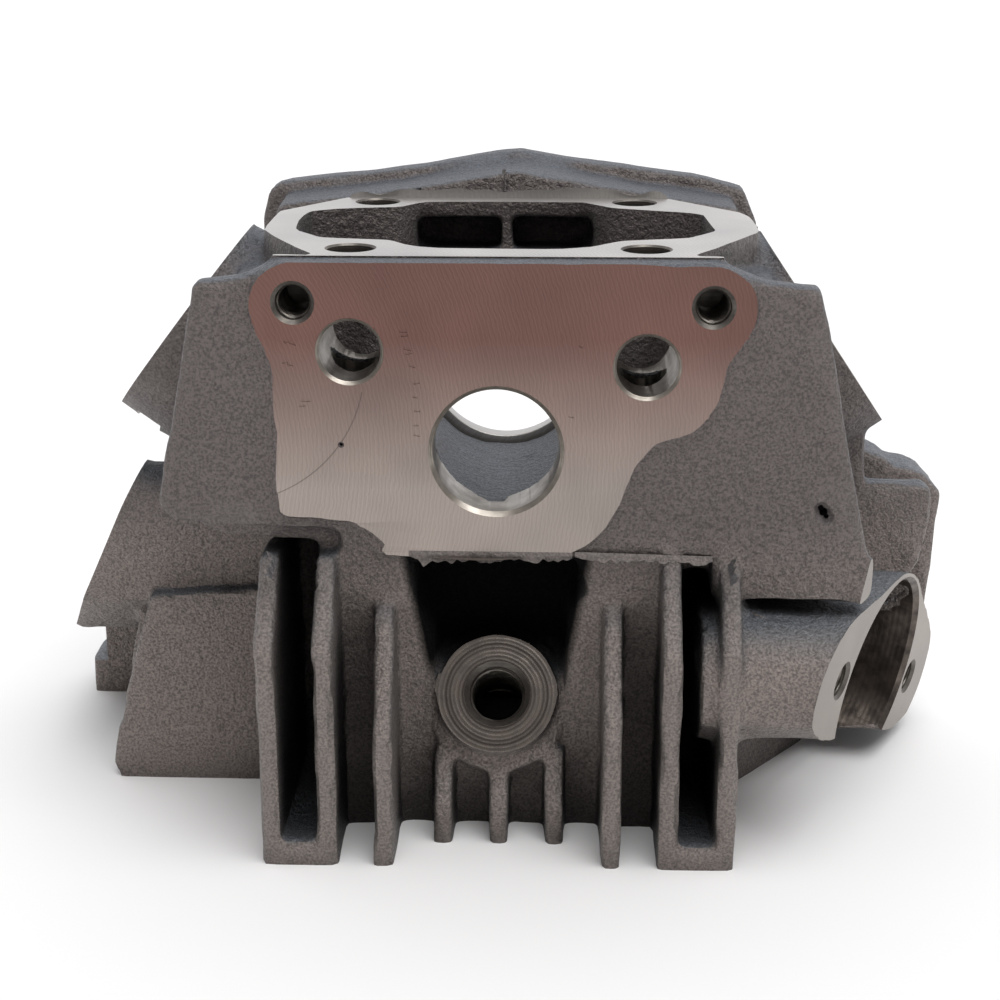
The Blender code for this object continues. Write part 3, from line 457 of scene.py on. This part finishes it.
def machineCutters():
    x, y, z = np.eye(3)
    top, front, rear = planes["top"], planes["side"], planes["chain"]
    planer("planeGasket", np.array([0, 4.0, 0]), -z, (95, 60, 9), "milledFlange", (x, y))
    planer("planeTop", np.array([0, -10.0, top]), z, (60, 40.0, 14), "milledTopFace", (x, y))
    planer("planeSide", np.array([2, front, 79.6]), -y, (46, 25.7, 9), "milledSideFace", (x, z))
    planer("planeChain", np.array([0, rear, 55.0]), y, (70, 62, 8), "milledFlange", (x, z))
    planer("ledge", np.array([1, -35.4, 104.7]), z, (48, 3.0, 7), "dieCastAluminium", (x, y))
    studs = machining["studs"]
    for i in (-1, 1):
        for j in (-1, 1):
            drill(f"studHole{i}{j}", (i * studs["half"], j * studs["half"], top), z, studs["radius"], top,
                  studs["chamfer"], "drilledHole", True, 40)
    cam = machining["camFront"]
    drill("camFront", (0, front, cam["height"]), -y, cam["radius"], 16, cam["chamfer"], "boredWall",
          sides=128)
    chain = machining["camChain"]
    drill("camChain", (0, 41, chain["height"]), y, chain["radius"], 15, chain["chamfer"], "boredWall",
          sides=160)
    cover = machining["chainCover"]
    drill("chainCover", (0, rear, cover["height"]), y, cover["radius"], 8, 0.6, "boredWall", sides=180)
    for number, place in enumerate(chainBolts()):
        drill(f"chainCoverHole{number}", place, y, cover["bolt"], 10, 0.5, "drilledHole", sides=32)
    rockers = machining["rockers"]
    for number, (across, height) in enumerate(rockers["places"]):
        drill(f"rockerBore{number}", (across, front, height), -y, rockers["radius"], 70, rockers["chamfer"],
              "boredWall")
    bolts = machining["coverBolts"]
    for number, (across, height) in enumerate(bolts["places"]):
        drill(f"coverBolt{number}", (across, front, height), -y, bolts["radius"], bolts["depth"],
              bolts["chamfer"], "drilledHole", sides=48)
    plug, spotFace = machining["plug"], 14
    drill("plugHole", plugSeat, -plugInward, plug["radius"], 27, 0.9, "drilledHole")
    drill("plugSpotFace", plugSeat - plugInward * spotFace, -plugInward, plug["seatRadius"] + 0.4,
          spotFace, 0, "turnedPlugSeat", sides=128)
    for side in ("intake", "exhaust"):
        at, out, along, over = flangeAxes(side)
        planer(f"{side}FlangePlane", at, out, (flange[side]["along"] + 3, flange[side]["across"] + 3, 5),
               "milledFlange", (along, over))
        hole = machining["flangeStud"]
        for number, place in enumerate(flangeBolts(side)):
            drill(f"{side}FlangeStud{number}", place, out, hole["radius"], hole["depth"], hole["chamfer"],
                  "drilledHole", sides=40)
        at, out = tappetAxis(side)
        drill(f"{side}TappetPlane", at + out * 6.5, out, tappet["radius"] + 2.0, 6.5, 0, "milledFlange")
        drill(f"{side}TappetHole", at, out, tappet["hole"] + 0.05, 21, 0.8, "boredWall", sides=96)
        ring = valve["head"][side] + valve["seatWall"] + 0.3
        drill(f"{side}SeatPocket", onStem(side, -3), -stemDirection(side), ring, 9.6, 0, "boredWall",
              sides=96)
        drill(f"{side}GuideBore", onStem(side, 36), stemDirection(side), valve["guideRadius"] + 0.3, 28, 0,
              "boredWall", sides=48)
    planer("intakeFlangeTrim", np.array([-84.7, 10.0, 22.0]), -x, (36, 14.8, 8), "dieCastAluminium", (y, z))
    recess = machining["exhaustRecess"]
    at, out, _, _ = flangeAxes("exhaust")
    drill("exhaustRecess", at, out, recess["radius"], recess["depth"], recess["chamfer"],
          "exhaustRecessWall", sides=160)
    for number, (across, height, width) in enumerate(marks["dents"]):    # nicks, each leaning its own way
        lean = 0.3 * math.sin(number * 2.7)
        cosine, sine = math.cos(lean), math.sin(lean)
        nick = (np.array([cosine, 0, sine]), np.array([-sine, 0, cosine]))
        planer(f"dent{number}", np.array([across, -36.86, height]), -y, (0.85 * width, 0.3 * width, 5),
               "milledSideFace", nick)
    for number, (place, width, depth) in enumerate(marks["pores"]):
        drill(f"pore{number}", place, -y, width, depth, 0.2, "dieCastAluminium", sides=11)


def headCasting():
    item = meshObject("headCasting", *castBody())
    item.data.materials.append(finishes["dieCastAluminium"])
    machineCutters()
    boolean = item.modifiers.new("machining", "BOOLEAN")
    boolean.operation, boolean.operand_type, boolean.collection = "DIFFERENCE", "COLLECTION", cuttersGroup
    boolean.solver, boolean.material_mode = "MANIFOLD", "TRANSFER"
    bpy.context.scene.collection.children.link(cuttersGroup)
    bpy.context.view_layer.update()
    cut = bpy.data.meshes.new_from_object(item.evaluated_get(bpy.context.evaluated_depsgraph_get()))
    item.modifiers.clear()
    item.data = cut
    for tool in list(cuttersGroup.objects):
        bpy.data.objects.remove(tool)
    bpy.data.collections.remove(cuttersGroup)
    cut.shade_smooth()
    cut.set_sharp_from_angle(angle=math.radians(38))
    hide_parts("head_casting")
    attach(item, "head")
    print("casting machined:", len(cut.polygons), "faces", [m.name for m in cut.materials])


headCasting()


# cut threads, and the flash the die left

threads = {    # how finely they are drawn, then each size's root radius, crest radius and pitch
    "sides": 60, "rowsPerPitch": 8,
    "m5": (2.53, 2.1, 0.8), "m6": (2.98, 2.5, 1.0), "m10": (4.98, 4.42, 1.0),
}


def threadSleeve(name, mouth, out, root, crest, pitch, depth, start=0.9):
    # r = root - (root - crest) * (1 - |2 frac(h / pitch - a / 2 pi) - 1|), backed by a plain outer wall
    rows = int((depth - start) / pitch * threads["rowsPerPitch"])
    h = -np.linspace(start, depth, rows)
    a = np.linspace(0, 2 * math.pi, threads["sides"], endpoint=False)
    phase = np.mod(h[:, None] / pitch - a[None, :] / (2 * math.pi), 1.0)
    ridge = np.clip(1.25 * (1 - np.abs(2 * phase - 1)), 0, 1)
    fadeIn = np.clip((-h - start) / pitch, 0, 1)[:, None]
    inner = root - (root - crest) * ridge * fadeIn
    across, over = sideways(unit(out))
    ring = np.cos(a)[:, None] * across + np.sin(a)[:, None] * over
    wall = np.stack([np.full(len(a), root + 0.25)] * 2)
    radius = np.vstack([wall[:1], inner, wall[1:]])
    height = np.concatenate([h[:1], h, h[-1:]])
    points = radius[..., None] * ring + height[:, None, None] * unit(out) + np.asarray(mouth, float)
    item = meshObject(name, points.reshape(-1, 3), gridFaces(rows + 2, len(a), True, True), 50)
    item.data.materials.append(finishes["cutThread"])
    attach(item, "head")


for number, (across, height) in enumerate(machining["coverBolts"]["places"]):
    threadSleeve(f"coverThread{number}", (across, planes["side"], height), (0, -1, 0), *threads["m6"], 12.5)
threadSleeve("plugThread", plugSeat, -plugInward, *threads["m10"], 17.0, 1.2)
for side in ("intake", "exhaust"):
    for sign, place in zip((-1, 1), flangeBolts(side)):
        threadSleeve(f"{side}StudThread{sign}", place, flangeAxes(side)[1], *threads["m6"], 13)
for number, place in enumerate(chainBolts()):
    threadSleeve(f"chainThread{number}", place, (0, 1, 0), *threads["m5"], 9.5)

flash = {    # thin ragged metal along the die's parting edges: start, end, way out, tallest, thickness, seed
    "padLowerRight": ((13.5, -37.3, 54.2), (37.0, -36.6, 53.4), (0.1, -0.45, -0.88), 1.5, 0.2, 3),
    "recessMouth": ((-15.0, -37.0, 54.1), (13.0, -37.0, 54.0), (0.0, -0.2, -0.97), 2.6, 0.22, 8),
    "leftFinTop": ((-38.0, -46.6, 53.6), (-38.0, -38.5, 54.4), (-0.5, -0.2, 0.85), 2.6, 0.4, 11),
    "rightFinTop": ((40.0, -46.4, 53.0), (40.2, -38.0, 53.8), (0.5, -0.2, 0.85), 2.0, 0.4, 13),
    "saddleLine": ((-0.3, 31.5, 105.3), (-0.4, 34.0, 110.2), (0.3, -0.9, 0.3), 0.7, 0.35, 17),
    "saddleCross": ((-0.2, 31.2, 105.6), (6.5, 31.2, 105.9), (0.0, -0.8, 0.6), 0.8, 0.4, 19),
}


def flashStrip(name, start, end, out, tall, thick, seed, columns=90):
    # height = tall * stepped noise along the edge; section = a wedge from thick at its root to a sharp lip
    rng = np.random.default_rng(seed)
    t = np.linspace(0, 1, columns)
    coarse = np.interp(t * 9, np.arange(11), rng.uniform(0.15, 1.0, 11))
    fine = np.interp(t * 34, np.arange(36), rng.uniform(0.15, 1.0, 36))
    height = tall * coarse * fine * np.clip(np.minimum(t, 1 - t) / 0.04, 0.05, 1)
    sway = np.interp(t * 12, np.arange(14), rng.uniform(-0.35, 0.35, 14)) * tall
    start, end, out = np.array(start), np.array(end), unit(out)
    side = unit(np.cross(end - start, out))
    line = start + (end - start) * t[:, None]
    root, tip = line - out * 0.9, line + out * height[:, None] + side * sway[:, None] * 0.6
    ring = np.stack([root - side * thick, line - side * thick * 0.55, tip - side * 0.07, tip + side * 0.07,
                     line + side * thick * 0.55, root + side * thick], 1)
    caps = [tuple(range(6)), tuple(range(6 * (columns - 1), 6 * columns))[::-1]]
    faces = gridFaces(columns, 6, False, True).tolist() + caps
    item = meshObject(name, ring.reshape(-1, 3), faces, 50)
    item.data.materials.append(finishes["tornFlash"])
    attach(item, "head")


def bearingLip():
    # the chain-side bearing's inner lip, seen through the front bore; it stops short at a step
    a = np.radians(np.linspace(196, 312, 80))[:, None]
    section = roundedProfile([(15.3, 26.6), (17.4, 26.6), (17.4, 30.6), (15.3, 30.6)], 0.25)
    radius, along = section[:, 0][None, :], section[:, 1][None, :]
    height = machining["camChain"]["height"] + 0.5
    points = np.stack([radius * np.cos(a), along + 0 * a, height + radius * np.sin(a)], -1)
    rim = points.shape[1]
    caps = [tuple(range(rim)), tuple(range(rim * (len(a) - 1), rim * len(a)))[::-1]]
    faces = gridFaces(len(a), rim, False, True).tolist() + caps
    item = meshObject("bearingLip", points.reshape(-1, 3), faces)
    item.data.materials.append(finishes["milledTopFace"])
    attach(item, "head")


bearingLip()
for name, (start, end, out, tall, thick, seed) in flash.items():
    flashStrip(name, start, end, out, tall, thick, seed)
print("threads and flash built")


# valve gear inside the head, each piece turned about its valve's stem

gear = {
    "spring": {"outer": {"radius": 10.4, "wire": 1.4, "turns": 6, "low": 36.2, "high": 61.5, "keep": 0.783},
               "inner": {"radius": 7.5, "wire": 0.9, "turns": 8, "low": 36.2, "high": 60.6, "keep": 0.775}},
    "perTurn": 44, "wireSides": 18,
}


def valveProfile(edge):    # (radius, height) from the stem's tip down to the head's flat underside
    neck, shank = edge - 1.85, valve["stem"]
    s = np.linspace(0, 1, 26)
    tulip = np.stack([shank + (neck - shank) * s ** 3, 4.2 + 11 * (1 - s)], 1)
    stem = [(0, 70), (1.7, 70), (2.3, 69.7), (shank, 69.2), (shank, 64.7), (2.1, 64.2), (2.0, 63.4),
            (2.1, 62.6), (shank, 62.1), (shank, 40.0)]
    face = [(edge - 0.1, 4.2 - (edge - neck) + 0.1), (edge, 2.2), (edge, 0.6), (edge - 0.5, 0.05),
            (edge - 1.2, 0), (edge * 0.5, 0), (0, 0)]
    return np.vstack([stem, tulip, face])


def seatProfile(edge):
    inner, outer = edge - valve["throatWall"], edge + valve["seatWall"]
    slope = 4.42
    low = slope - (outer - 1 - inner)
    corners = [(inner, 6.3), (outer, 6.3), (outer, low), (outer - 1, low), (inner + 0.3, slope - 0.3),
               (inner, slope + 0.3)]
    return roundedProfile(corners, 0.22)


def shortProfiles():    # closed sections shared by both valves: corners and how far each is rounded
    return {
        "valve_guide": ([(2.8, 42), (3.7, 42), (4.5, 41), (4.5, 36), (4.05, 36), (4.05, 34.2), (4.5, 34.2),
                         (4.5, 17), (3.5, 15), (2.8, 15)], 0.2, "guide_bronze"),
        "stem_seal": ([(2.8, 45.2), (4.0, 45.2), (4.6, 42.8), (6, 41.4), (6, 37.4), (4.8, 37.4), (4.8, 42.3),
                       (2.8, 42.3)], 0.35, "seal_rubber"),
        "spring_seat": ([(6.4, 35.9), (12.4, 35.9), (13.2, 35.4), (13.2, 34.3), (6.4, 34.3)], 0.25,
                        "washer_steel"),
        "spring_retainer": ([(4.75, 65.2), (6.9, 65.2), (7.7, 64.2), (11.8, 63.5), (11.8, 61.8), (8.6, 61.8),
                             (8.6, 60.9), (6.3, 60.9), (5.9, 59.2), (3.55, 59.2)], 0.3, "retainer_steel"),
    }


def springCoil(name, side, size):
    # centre = axis point at height h(t) + radius * (cos 2 pi t, sin 2 pi t); one closed turn at each end
    wire, turns = size["wire"], size["turns"]
    start, end, closed = size["low"] + wire, size["high"] - wire, 2.15 * wire
    middle = (end - start - 2 * closed) / (turns - 2)
    t = np.linspace(0, turns, gear["perTurn"] * turns + 1)
    first, last = np.minimum(t, 1), np.maximum(t - turns + 1, 0)
    height = start + first * closed + (t - first - last) * middle + last * closed
    across, over = sideways(stemDirection(side))
    a = 2 * math.pi * t
    radial = np.cos(a)[:, None] * across + np.sin(a)[:, None] * over
    path = onStem(side, 0) + height[:, None] * stemDirection(side) + radial * size["radius"]
    b = np.linspace(0, 2 * math.pi, gear["wireSides"], endpoint=False)
    taper = np.clip(np.minimum(t, turns - t) / 0.02, 0.0, 1.0)[:, None, None] * wire
    ring = np.cos(b)[None, :, None] * radial[:, None] + np.sin(b)[None, :, None] * stemDirection(side)
    points = (path[:, None] + ring * taper).reshape(-1, 3)
    item = meshObject(name, points, gridFaces(len(t), len(b), False, True), 60)
    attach(item, "head")
    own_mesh(item)
    return item


gearPieces = {}
for side in ("intake", "exhaust"):
    moving, direction, foot = f"{side}_valve_set", stemDirection(side), onStem(side, 0)
    edge = valve["head"][side]
    made = {"valve": (turnedPiece(f"{side}Valve", valveProfile(edge), foot, direction, 96, False), moving,
                      "valve_steel"),
            "valve_seat": (turnedPiece(f"{side}Seat", seatProfile(edge), foot, direction, 120), "head",
                           "sintered_seat")}
    for part, (corners, rounding, slot) in shortProfiles().items():
        body = moving if part == "spring_retainer" else "head"
        piece = turnedPiece(f"{side}_{part}_turned", roundedProfile(corners, rounding), foot, direction, 96)
        made[part] = (piece, body, slot)
    for part, (piece, body, slot) in made.items():
        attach(piece, body)
        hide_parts(f"{side}_{part}")
        gearPieces.setdefault(slot, []).append(piece)
    for kind, size in gear["spring"].items():
        coil = springCoil(f"{side}{kind.capitalize()}Coil", side, size)
        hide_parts(f"{side}_{kind}_spring")
        gearPieces.setdefault("spring_steel", []).append(coil)
print("valve gear built:", sum(len(v) for v in gearPieces.values()), "pieces")


# materials

def linear(hexColour):    # sRGB hex to scene-linear
    parts = [int(hexColour[i:i + 2], 16) / 255 for i in (0, 2, 4)]
    return tuple(v / 12.92 if v <= 0.04045 else ((v + 0.055) / 1.055) ** 2.4 for v in parts) + (1.0,)


def fill(tree, socket, value):    # a socket takes a link from another socket, or a plain value
    if isinstance(value, bpy.types.NodeSocket):
        tree.links.new(value, socket)
    else:
        socket.default_value = value


def node(tree, kind, links=(), output=0, **settings):    # links follow the inputs in order, or name them
    made = tree.nodes.new("ShaderNode" + kind)
    for name, value in settings.items():
        setattr(made, name, value)
    for key, value in links.items() if isinstance(links, dict) else enumerate(links):
        fill(tree, made.inputs[key], value)
    return made.outputs[output]


def placed(tree, centre, turn=(0.0, 0.0, 0.0)):    # object coordinates in mm, moved to a centre and turned
    where = node(tree, "TexCoord", output="Object")
    at = [float(v) for v in inFrame(centre)]
    return node(tree, "Mapping", (where, at, turn, (mm, mm, mm)), vector_type="TEXTURE")


def surface(tree, colour, roughness, metallic, height=None, bump=0.0):
    shader = tree.nodes["Principled BSDF"]
    values = {"Base Color": colour, "Roughness": roughness, "Metallic": metallic}
    if height is not None:    # heights are in millimetres
        values["Normal"] = node(tree, "Bump", {"Height": height, "Distance": bump * mm, "Strength": 1.0})
    for key, value in values.items():
        fill(tree, shader.inputs[key], value)


def dieCast(material):
    # die-cast aluminium, blasted: a fine orange peel, browner where the die's release agent baked on, pale
    # where its edges are rubbed; painted shade darkens the hollows, and painted reflections tint the faces
    # that turn up or to the front
    material.use_nodes = True
    tree = material.node_tree
    where = placed(tree, (0, 0, 0))
    grain = node(tree, "TexNoise", {"Vector": where, "Scale": 2.3, "Detail": 4.0, "Roughness": 0.6})
    patches = node(tree, "TexNoise", {"Vector": where, "Scale": 0.09, "Detail": 3.0, "Roughness": 0.5})
    pits = node(tree, "TexNoise", {"Vector": where, "Scale": 0.75, "Detail": 2.0, "Roughness": 0.5})
    # painted reflection: faces turned up get a painted bluish sky tint, and faces turned to the front get a
    # painted warmer tint from the room
    normal = node(tree, "NewGeometry", output="Normal")
    side, up = (node(tree, "SeparateXYZ", (normal,), axis) for axis in (1, 2))
    upward = node(tree, "MapRange", (up, 0.1, 0.9))
    front = node(tree, "MapRange", (node(tree, "Math", (side, -1.0), operation="MULTIPLY"), 0.3, 0.9))
    patch = node(tree, "MapRange", (patches, 0.35, 0.65))
    brown = node(tree, "Mix", {0: patch, 6: linear("8d8783"), 7: linear("767371")}, 2, data_type="RGBA")
    paintedSkyOnTops = node(tree, "Mix", {0: upward, 6: brown, 7: linear("757a80")}, 2, data_type="RGBA")
    warm = node(tree, "Mix", {0: front, 6: paintedSkyOnTops, 7: linear("8e8580")}, 2, data_type="RGBA")
    x, y, z = (node(tree, "SeparateXYZ", (where,), axis) for axis in (0, 1, 2))
    tall = node(tree, "MapRange", (z, 46.0, 60.0))    # paler round the plug, darker round the cam chamber
    tints = {"low": (1.16, 1.15, 1.15, 1.0), "high": (0.74, 0.74, 0.77, 1.0)}
    tinted = {level: node(tree, "Mix", {0: 1.0, 6: warm, 7: tint}, 2, data_type="RGBA", blend_type="MULTIPLY")
              for level, tint in tints.items()}
    toned = node(tree, "Mix", {0: tall, 6: tinted["low"], 7: tinted["high"]}, 2, data_type="RGBA")
    speckle = node(tree, "Math", (node(tree, "MapRange", (grain, 0.42, 0.62)), 0.6), operation="MULTIPLY")
    dark = node(tree, "Mix", {0: speckle, 6: toned, 7: linear("4a4847")}, 2, data_type="RGBA")
    edges = node(tree, "MapRange", (node(tree, "NewGeometry", output="Pointiness"), 0.51, 0.58))
    rubbed = node(tree, "Math", (edges, 0.3), operation="MULTIPLY")
    worn = node(tree, "Mix", {0: rubbed, 6: dark, 7: linear("8f8b87")}, 2, data_type="RGBA")
    height = node(tree, "Math", (pits, 1.6, grain), operation="MULTIPLY_ADD")
    roughness = node(tree, "MapRange", (grain, 0.3, 0.7, 0.42, 0.62))
    # painted shade: ambient occlusion darkens the hollows to near black, standing in for the shade that falls
    # there
    hollow = node(tree, "AmbientOcclusion", {"Distance": 15 * mm}, "AO", samples=6)
    exposed = node(tree, "MapRange", (hollow, 0.12, 0.62))
    withCavityShade = node(tree, "Mix", {0: exposed, 6: linear("161516"), 7: worn}, 2, data_type="RGBA")
    # painted shadow: the hollow over the plug is painted black where light does not reach; the mask narrows
    # downward and starts behind the milled face
    wide = node(tree, "Math", (node(tree, "Math", (x,), operation="ABSOLUTE"), 9.2), operation="ADD")
    spread = node(tree, "Math", (z, -0.17, wide), operation="MULTIPLY_ADD")
    limits = [(spread, 17.3, 15.5), (y, -37.6, -36.4), (z, 26.0, 33.0), (z, 54.5, 53.5), (y, -12.0, -16.0)]
    within = [node(tree, "MapRange", limit) for limit in limits]
    ahead = node(tree, "Math", (within[0], within[1]), operation="MULTIPLY")
    level = node(tree, "Math", (within[2], within[3]), operation="MULTIPLY")
    outer = node(tree, "Math", (ahead, level), operation="MULTIPLY")
    recessShadow = node(tree, "Math", (outer, within[4]), operation="MULTIPLY")
    black = node(tree, "Mix", {0: recessShadow, 6: withCavityShade, 7: linear("060606")}, 2, data_type="RGBA")
    matt = node(tree, "Math", (recessShadow, 0.4, roughness), operation="MULTIPLY_ADD")
    surface(tree, black, matt, 0.72, height, 0.4)


def milled(material, centre, colour, dull, strength, fade=None):
    # milled aluminium: overlapping arcs of a face cutter, each tooth's mark a faint ridge, so that the face
    # glints in bands; real marks are finer and are drawn coarser to show
    material.use_nodes = True
    tree = material.node_tree
    where = placed(tree, centre)
    soft = node(tree, "TexNoise", {"Vector": where, "Scale": 0.05, "Detail": 2.0})
    arcs = node(tree, "TexWave", {"Vector": where, "Scale": 0.46, "Distortion": 6.0, "Detail": 3.0,
                                  "Detail Scale": 0.9}, 1, wave_type="RINGS", rings_direction="SPHERICAL")
    fine = node(tree, "TexWave", {"Vector": where, "Scale": 0.82, "Distortion": 3.0, "Detail": 1.0}, 1,
                wave_type="RINGS", rings_direction="SPHERICAL")
    faint = node(tree, "Math", (fine, 0.4), operation="MULTIPLY")
    ridges = node(tree, "Math", (arcs, 0.6, faint), operation="MULTIPLY_ADD")
    patch = node(tree, "MapRange", (soft, 0.3, 0.7))
    shade = node(tree, "Mix", {0: patch, 6: linear(colour), 7: linear(dull)}, 2, data_type="RGBA")
    share = node(tree, "Math", (ridges, 0.2), operation="MULTIPLY")
    lined = node(tree, "Mix", {0: share, 6: shade, 7: linear("6d655f")}, 2, data_type="RGBA")
    roughness = node(tree, "MapRange", (ridges, 0.0, 1.0, 0.3, 0.42))
    if fade is not None:    # a warm tone that deepens up the face, and a scribed arc
        level = node(tree, "SeparateXYZ", (placed(tree, (0, 0, 0)),), 2)
        rise = node(tree, "MapRange", (level, fade["low"], fade["high"]))
        deep = node(tree, "Math", (rise, 0.9), operation="POWER")
        warm = node(tree, "Mix", {0: deep, 6: lined, 7: linear(fade["colour"])}, 2, data_type="RGBA",
                    blend_type="MULTIPLY")
        flat = node(tree, "VectorMath", (placed(tree, fade["arc"]), (1.0, 0.0, 1.0)), operation="MULTIPLY")
        reach = node(tree, "VectorMath", (flat,), "Value", operation="LENGTH")
        line = node(tree, "Math", (reach, fade["radius"], 0.11), operation="COMPARE")
        below = node(tree, "Math", (level, 83.0), operation="LESS_THAN")
        kept = node(tree, "Math", (line, below), operation="MULTIPLY")
        scribed = node(tree, "Math", (kept, 0.5), operation="MULTIPLY")
        lined = node(tree, "Mix", {0: scribed, 6: warm, 7: linear("4f4743")}, 2, data_type="RGBA")
    surface(tree, lined, roughness, 0.85, ridges, strength)


def turnedMetal(material, axisPoint, axis, colour, dull, roughness, pitch, metallic=0.9, facing=False):
    # bored, drilled or turned metal: rings left by a tool fed along the axis, or across it when facing, which
    # catch the light as fine lines, over a slow patchy tone
    material.use_nodes = True
    tree = material.node_tree
    where = placed(tree, axisPoint, tuple(Vector(axis).to_track_quat("Z", "Y").to_euler()))
    if facing:
        x, y = (node(tree, "SeparateXYZ", (where,), part) for part in (0, 1))
        squared = node(tree, "Math", (y, y), operation="MULTIPLY")
        square = node(tree, "Math", (x, x, squared), operation="MULTIPLY_ADD")
        height = node(tree, "Math", (square,), operation="SQRT")
    else:
        height = node(tree, "SeparateXYZ", (where,), 2)
    wander = node(tree, "TexNoise", {"Vector": where, "Scale": 0.35, "Detail": 3.0})
    phase = node(tree, "Math", (height, 2 * math.pi / pitch), operation="MULTIPLY")
    swayed = node(tree, "Math", (wander, 2.0, phase), operation="MULTIPLY_ADD")
    rings = node(tree, "Math", (swayed,), operation="SINE")
    patch = node(tree, "MapRange", (wander, 0.35, 0.65))
    shade = node(tree, "Mix", {0: patch, 6: linear(colour), 7: linear(dull)}, 2, data_type="RGBA")
    if facing:    # broad dark rings where the tool dwelt
        wave = node(tree, "Math", (height, 2.3), operation="MULTIPLY")
        broad = node(tree, "Math", (wave,), operation="SINE")
        both = node(tree, "Math", (rings, broad), operation="ADD")
        share = node(tree, "Math", (node(tree, "MapRange", (both, -0.6, 1.8)), 0.7), operation="MULTIPLY")
        shade = node(tree, "Mix", {0: share, 6: shade, 7: linear("322d2a")}, 2, data_type="RGBA")
    level = node(tree, "MapRange", (wander, 0.3, 0.7, roughness, roughness + 0.12))
    surface(tree, shade, level, metallic, rings, 0.006)


dieCast(finishes["dieCastAluminium"])
milled(finishes["milledTopFace"], (-60, -60, 105), "cfccc8", "b9b7b5", 0.012)
milled(finishes["milledSideFace"], (-85, -37, 72), "aca199", "9b928c", 0.02,
       {"low": 66.0, "high": 92.0, "colour": "bd9a95", "arc": (-46.8, -37, 88.2), "radius": 25.0})
milled(finishes["milledFlange"], (95, 48, -20), "9b938a", "857e77", 0.012)
turnedMetal(finishes["boredWall"], (0, 0, 72.7), (0, 1, 0), "a39c94", "878179", 0.28, 0.35)
turnedMetal(finishes["drilledHole"], (0, 0, 0), (0, 0, 1), "77726c", "5d5955", 0.4, 0.8)
turnedMetal(finishes["turnedPlugSeat"], plugSeat, tuple(plugInward), "8d857e", "6b6561", 0.2, 0.75, 1.0,
            facing=True)
at, out, _, _ = flangeAxes("exhaust")
turnedMetal(finishes["exhaustRecessWall"], at, tuple(out), "6f665f", "453f3b", 0.3, 1.1)
turnedMetal(finishes["cutThread"], (0, 0, 0), (0, 1, 0), "7d7872", "55514d", 0.3, 0.9)
dieCast(finishes["tornFlash"])

gearMetals = {    # colour, duller patches, roughness, tool pitch in mm, metallic, and what it is
    "valve_steel": ("8f8c88", "6f6964", 0.22, 0.3, 1.0),    # ground stainless: bright, with fine rings
    "sintered_seat": ("6b6763", "524d49", 0.38, 0.3, 0.9),    # sintered iron: darker and duller
    "guide_bronze": ("b08a4f", "8d6a3a", 0.3, 0.4, 1.0),    # turned bronze: yellow against the casting
    "seal_rubber": ("1d2421", "141917", 0.55, 1.1, 0.0),    # moulded rubber: near black and matt
    "washer_steel": ("8b8a88", "72706d", 0.33, 0.4, 1.0),    # stamped steel: grey, slightly dull
    "retainer_steel": ("5b5754", "45413f", 0.35, 0.4, 1.0),    # forged and blacked steel: dark
    "spring_steel": ("4d5057", "3b3d42", 0.3, 0.6, 1.0),    # drawn and tempered wire: dark blue-grey
    "clip_steel": ("77777a", "5f5f62", 0.3, 0.5, 1.0),    # spring-steel ring: plain grey
    "collet_steel": ("6e6a66", "544f4b", 0.3, 0.35, 1.0),    # hardened steel: brownish grey
}
keptNodes = {"guide_clip": "clip_steel", "collet_front": "collet_steel", "collet_rear": "collet_steel"}
for slot, (colour, dull, roughness, pitch, metallic) in gearMetals.items():
    for side in ("intake", "exhaust"):
        made = bpy.data.materials.new(f"{slot}_{side}")
        turnedMetal(made, onStem(side, 0), tuple(stemDirection(side)), colour, dull, roughness, pitch,
                    metallic)
        for piece in gearPieces.get(slot, []):
            if piece.name.startswith(side):
                piece.data.materials.append(made)
        for part, partSlot in keptNodes.items():
            if partSlot == slot:
                for entry in frame["nodes"][f"{side}_{part}"].material_slots:
                    entry.material = made
print("materials made:", len(bpy.data.materials))


# floor, light and camera

studio = {"camera": (9.2, -328.9, 160.3), "pitch": 18.2, "yaw": 1.68, "focal": 65.34, "floor": 6000.0,
          "sun": 2.1}

wide = studio["floor"]
ground = meshObject("floor", [(-wide, -wide, 0), (wide, -wide, 0), (wide, wide, 0), (-wide, wide, 0)],
                    [(0, 1, 2, 3)])
floorPaint = bpy.data.materials.new("paleFloor")
floorPaint.use_nodes = True
surface(floorPaint.node_tree, linear("f4f4f4"), 0.9, 0.0)    # pale matt paint, so that shadows stay soft
ground.data.materials.append(floorPaint)

# a bright wall behind the object, and a dimmer room at the camera's side
world = bpy.data.worlds.new("softStudio")
bpy.context.scene.world = world
world.use_nodes = True
sky = world.node_tree
direction = node(sky, "SeparateXYZ", (node(sky, "TexCoord", output="Generated"),), 1)
behind = node(sky, "MapRange", (direction, -0.35, 0.5))
walls = {"room": (0.30, 0.285, 0.28, 1.0), "wall": (1.0, 1.0, 1.02, 1.0)}
tone = node(sky, "Mix", {0: behind, 6: walls["room"], 7: walls["wall"]}, 2, data_type="RGBA")
fill(sky, sky.nodes["Background"].inputs[0], tone)

sun = bpy.data.lights.new("softSun", "SUN")
sun.energy, sun.angle = studio["sun"], math.radians(50)
holder = bpy.data.objects.new("softSun", sun)
holder.rotation_euler = Vector((0.25, -0.28, 1.0)).to_track_quat("Z", "Y").to_euler()
bpy.context.scene.collection.objects.link(holder)

view = bpy.data.cameras.new("camera")
view.lens, view.sensor_width, view.dof.use_dof = studio["focal"], 36.0, False
eye = bpy.data.objects.new("camera", view)
eye.location = inFrame(studio["camera"])
eye.rotation_euler = (math.pi / 2 - math.radians(studio["pitch"]), 0, math.radians(studio["yaw"]))
bpy.context.scene.collection.objects.link(eye)
bpy.context.scene.camera = eye
bpy.context.scene.view_settings.view_transform = "Standard"
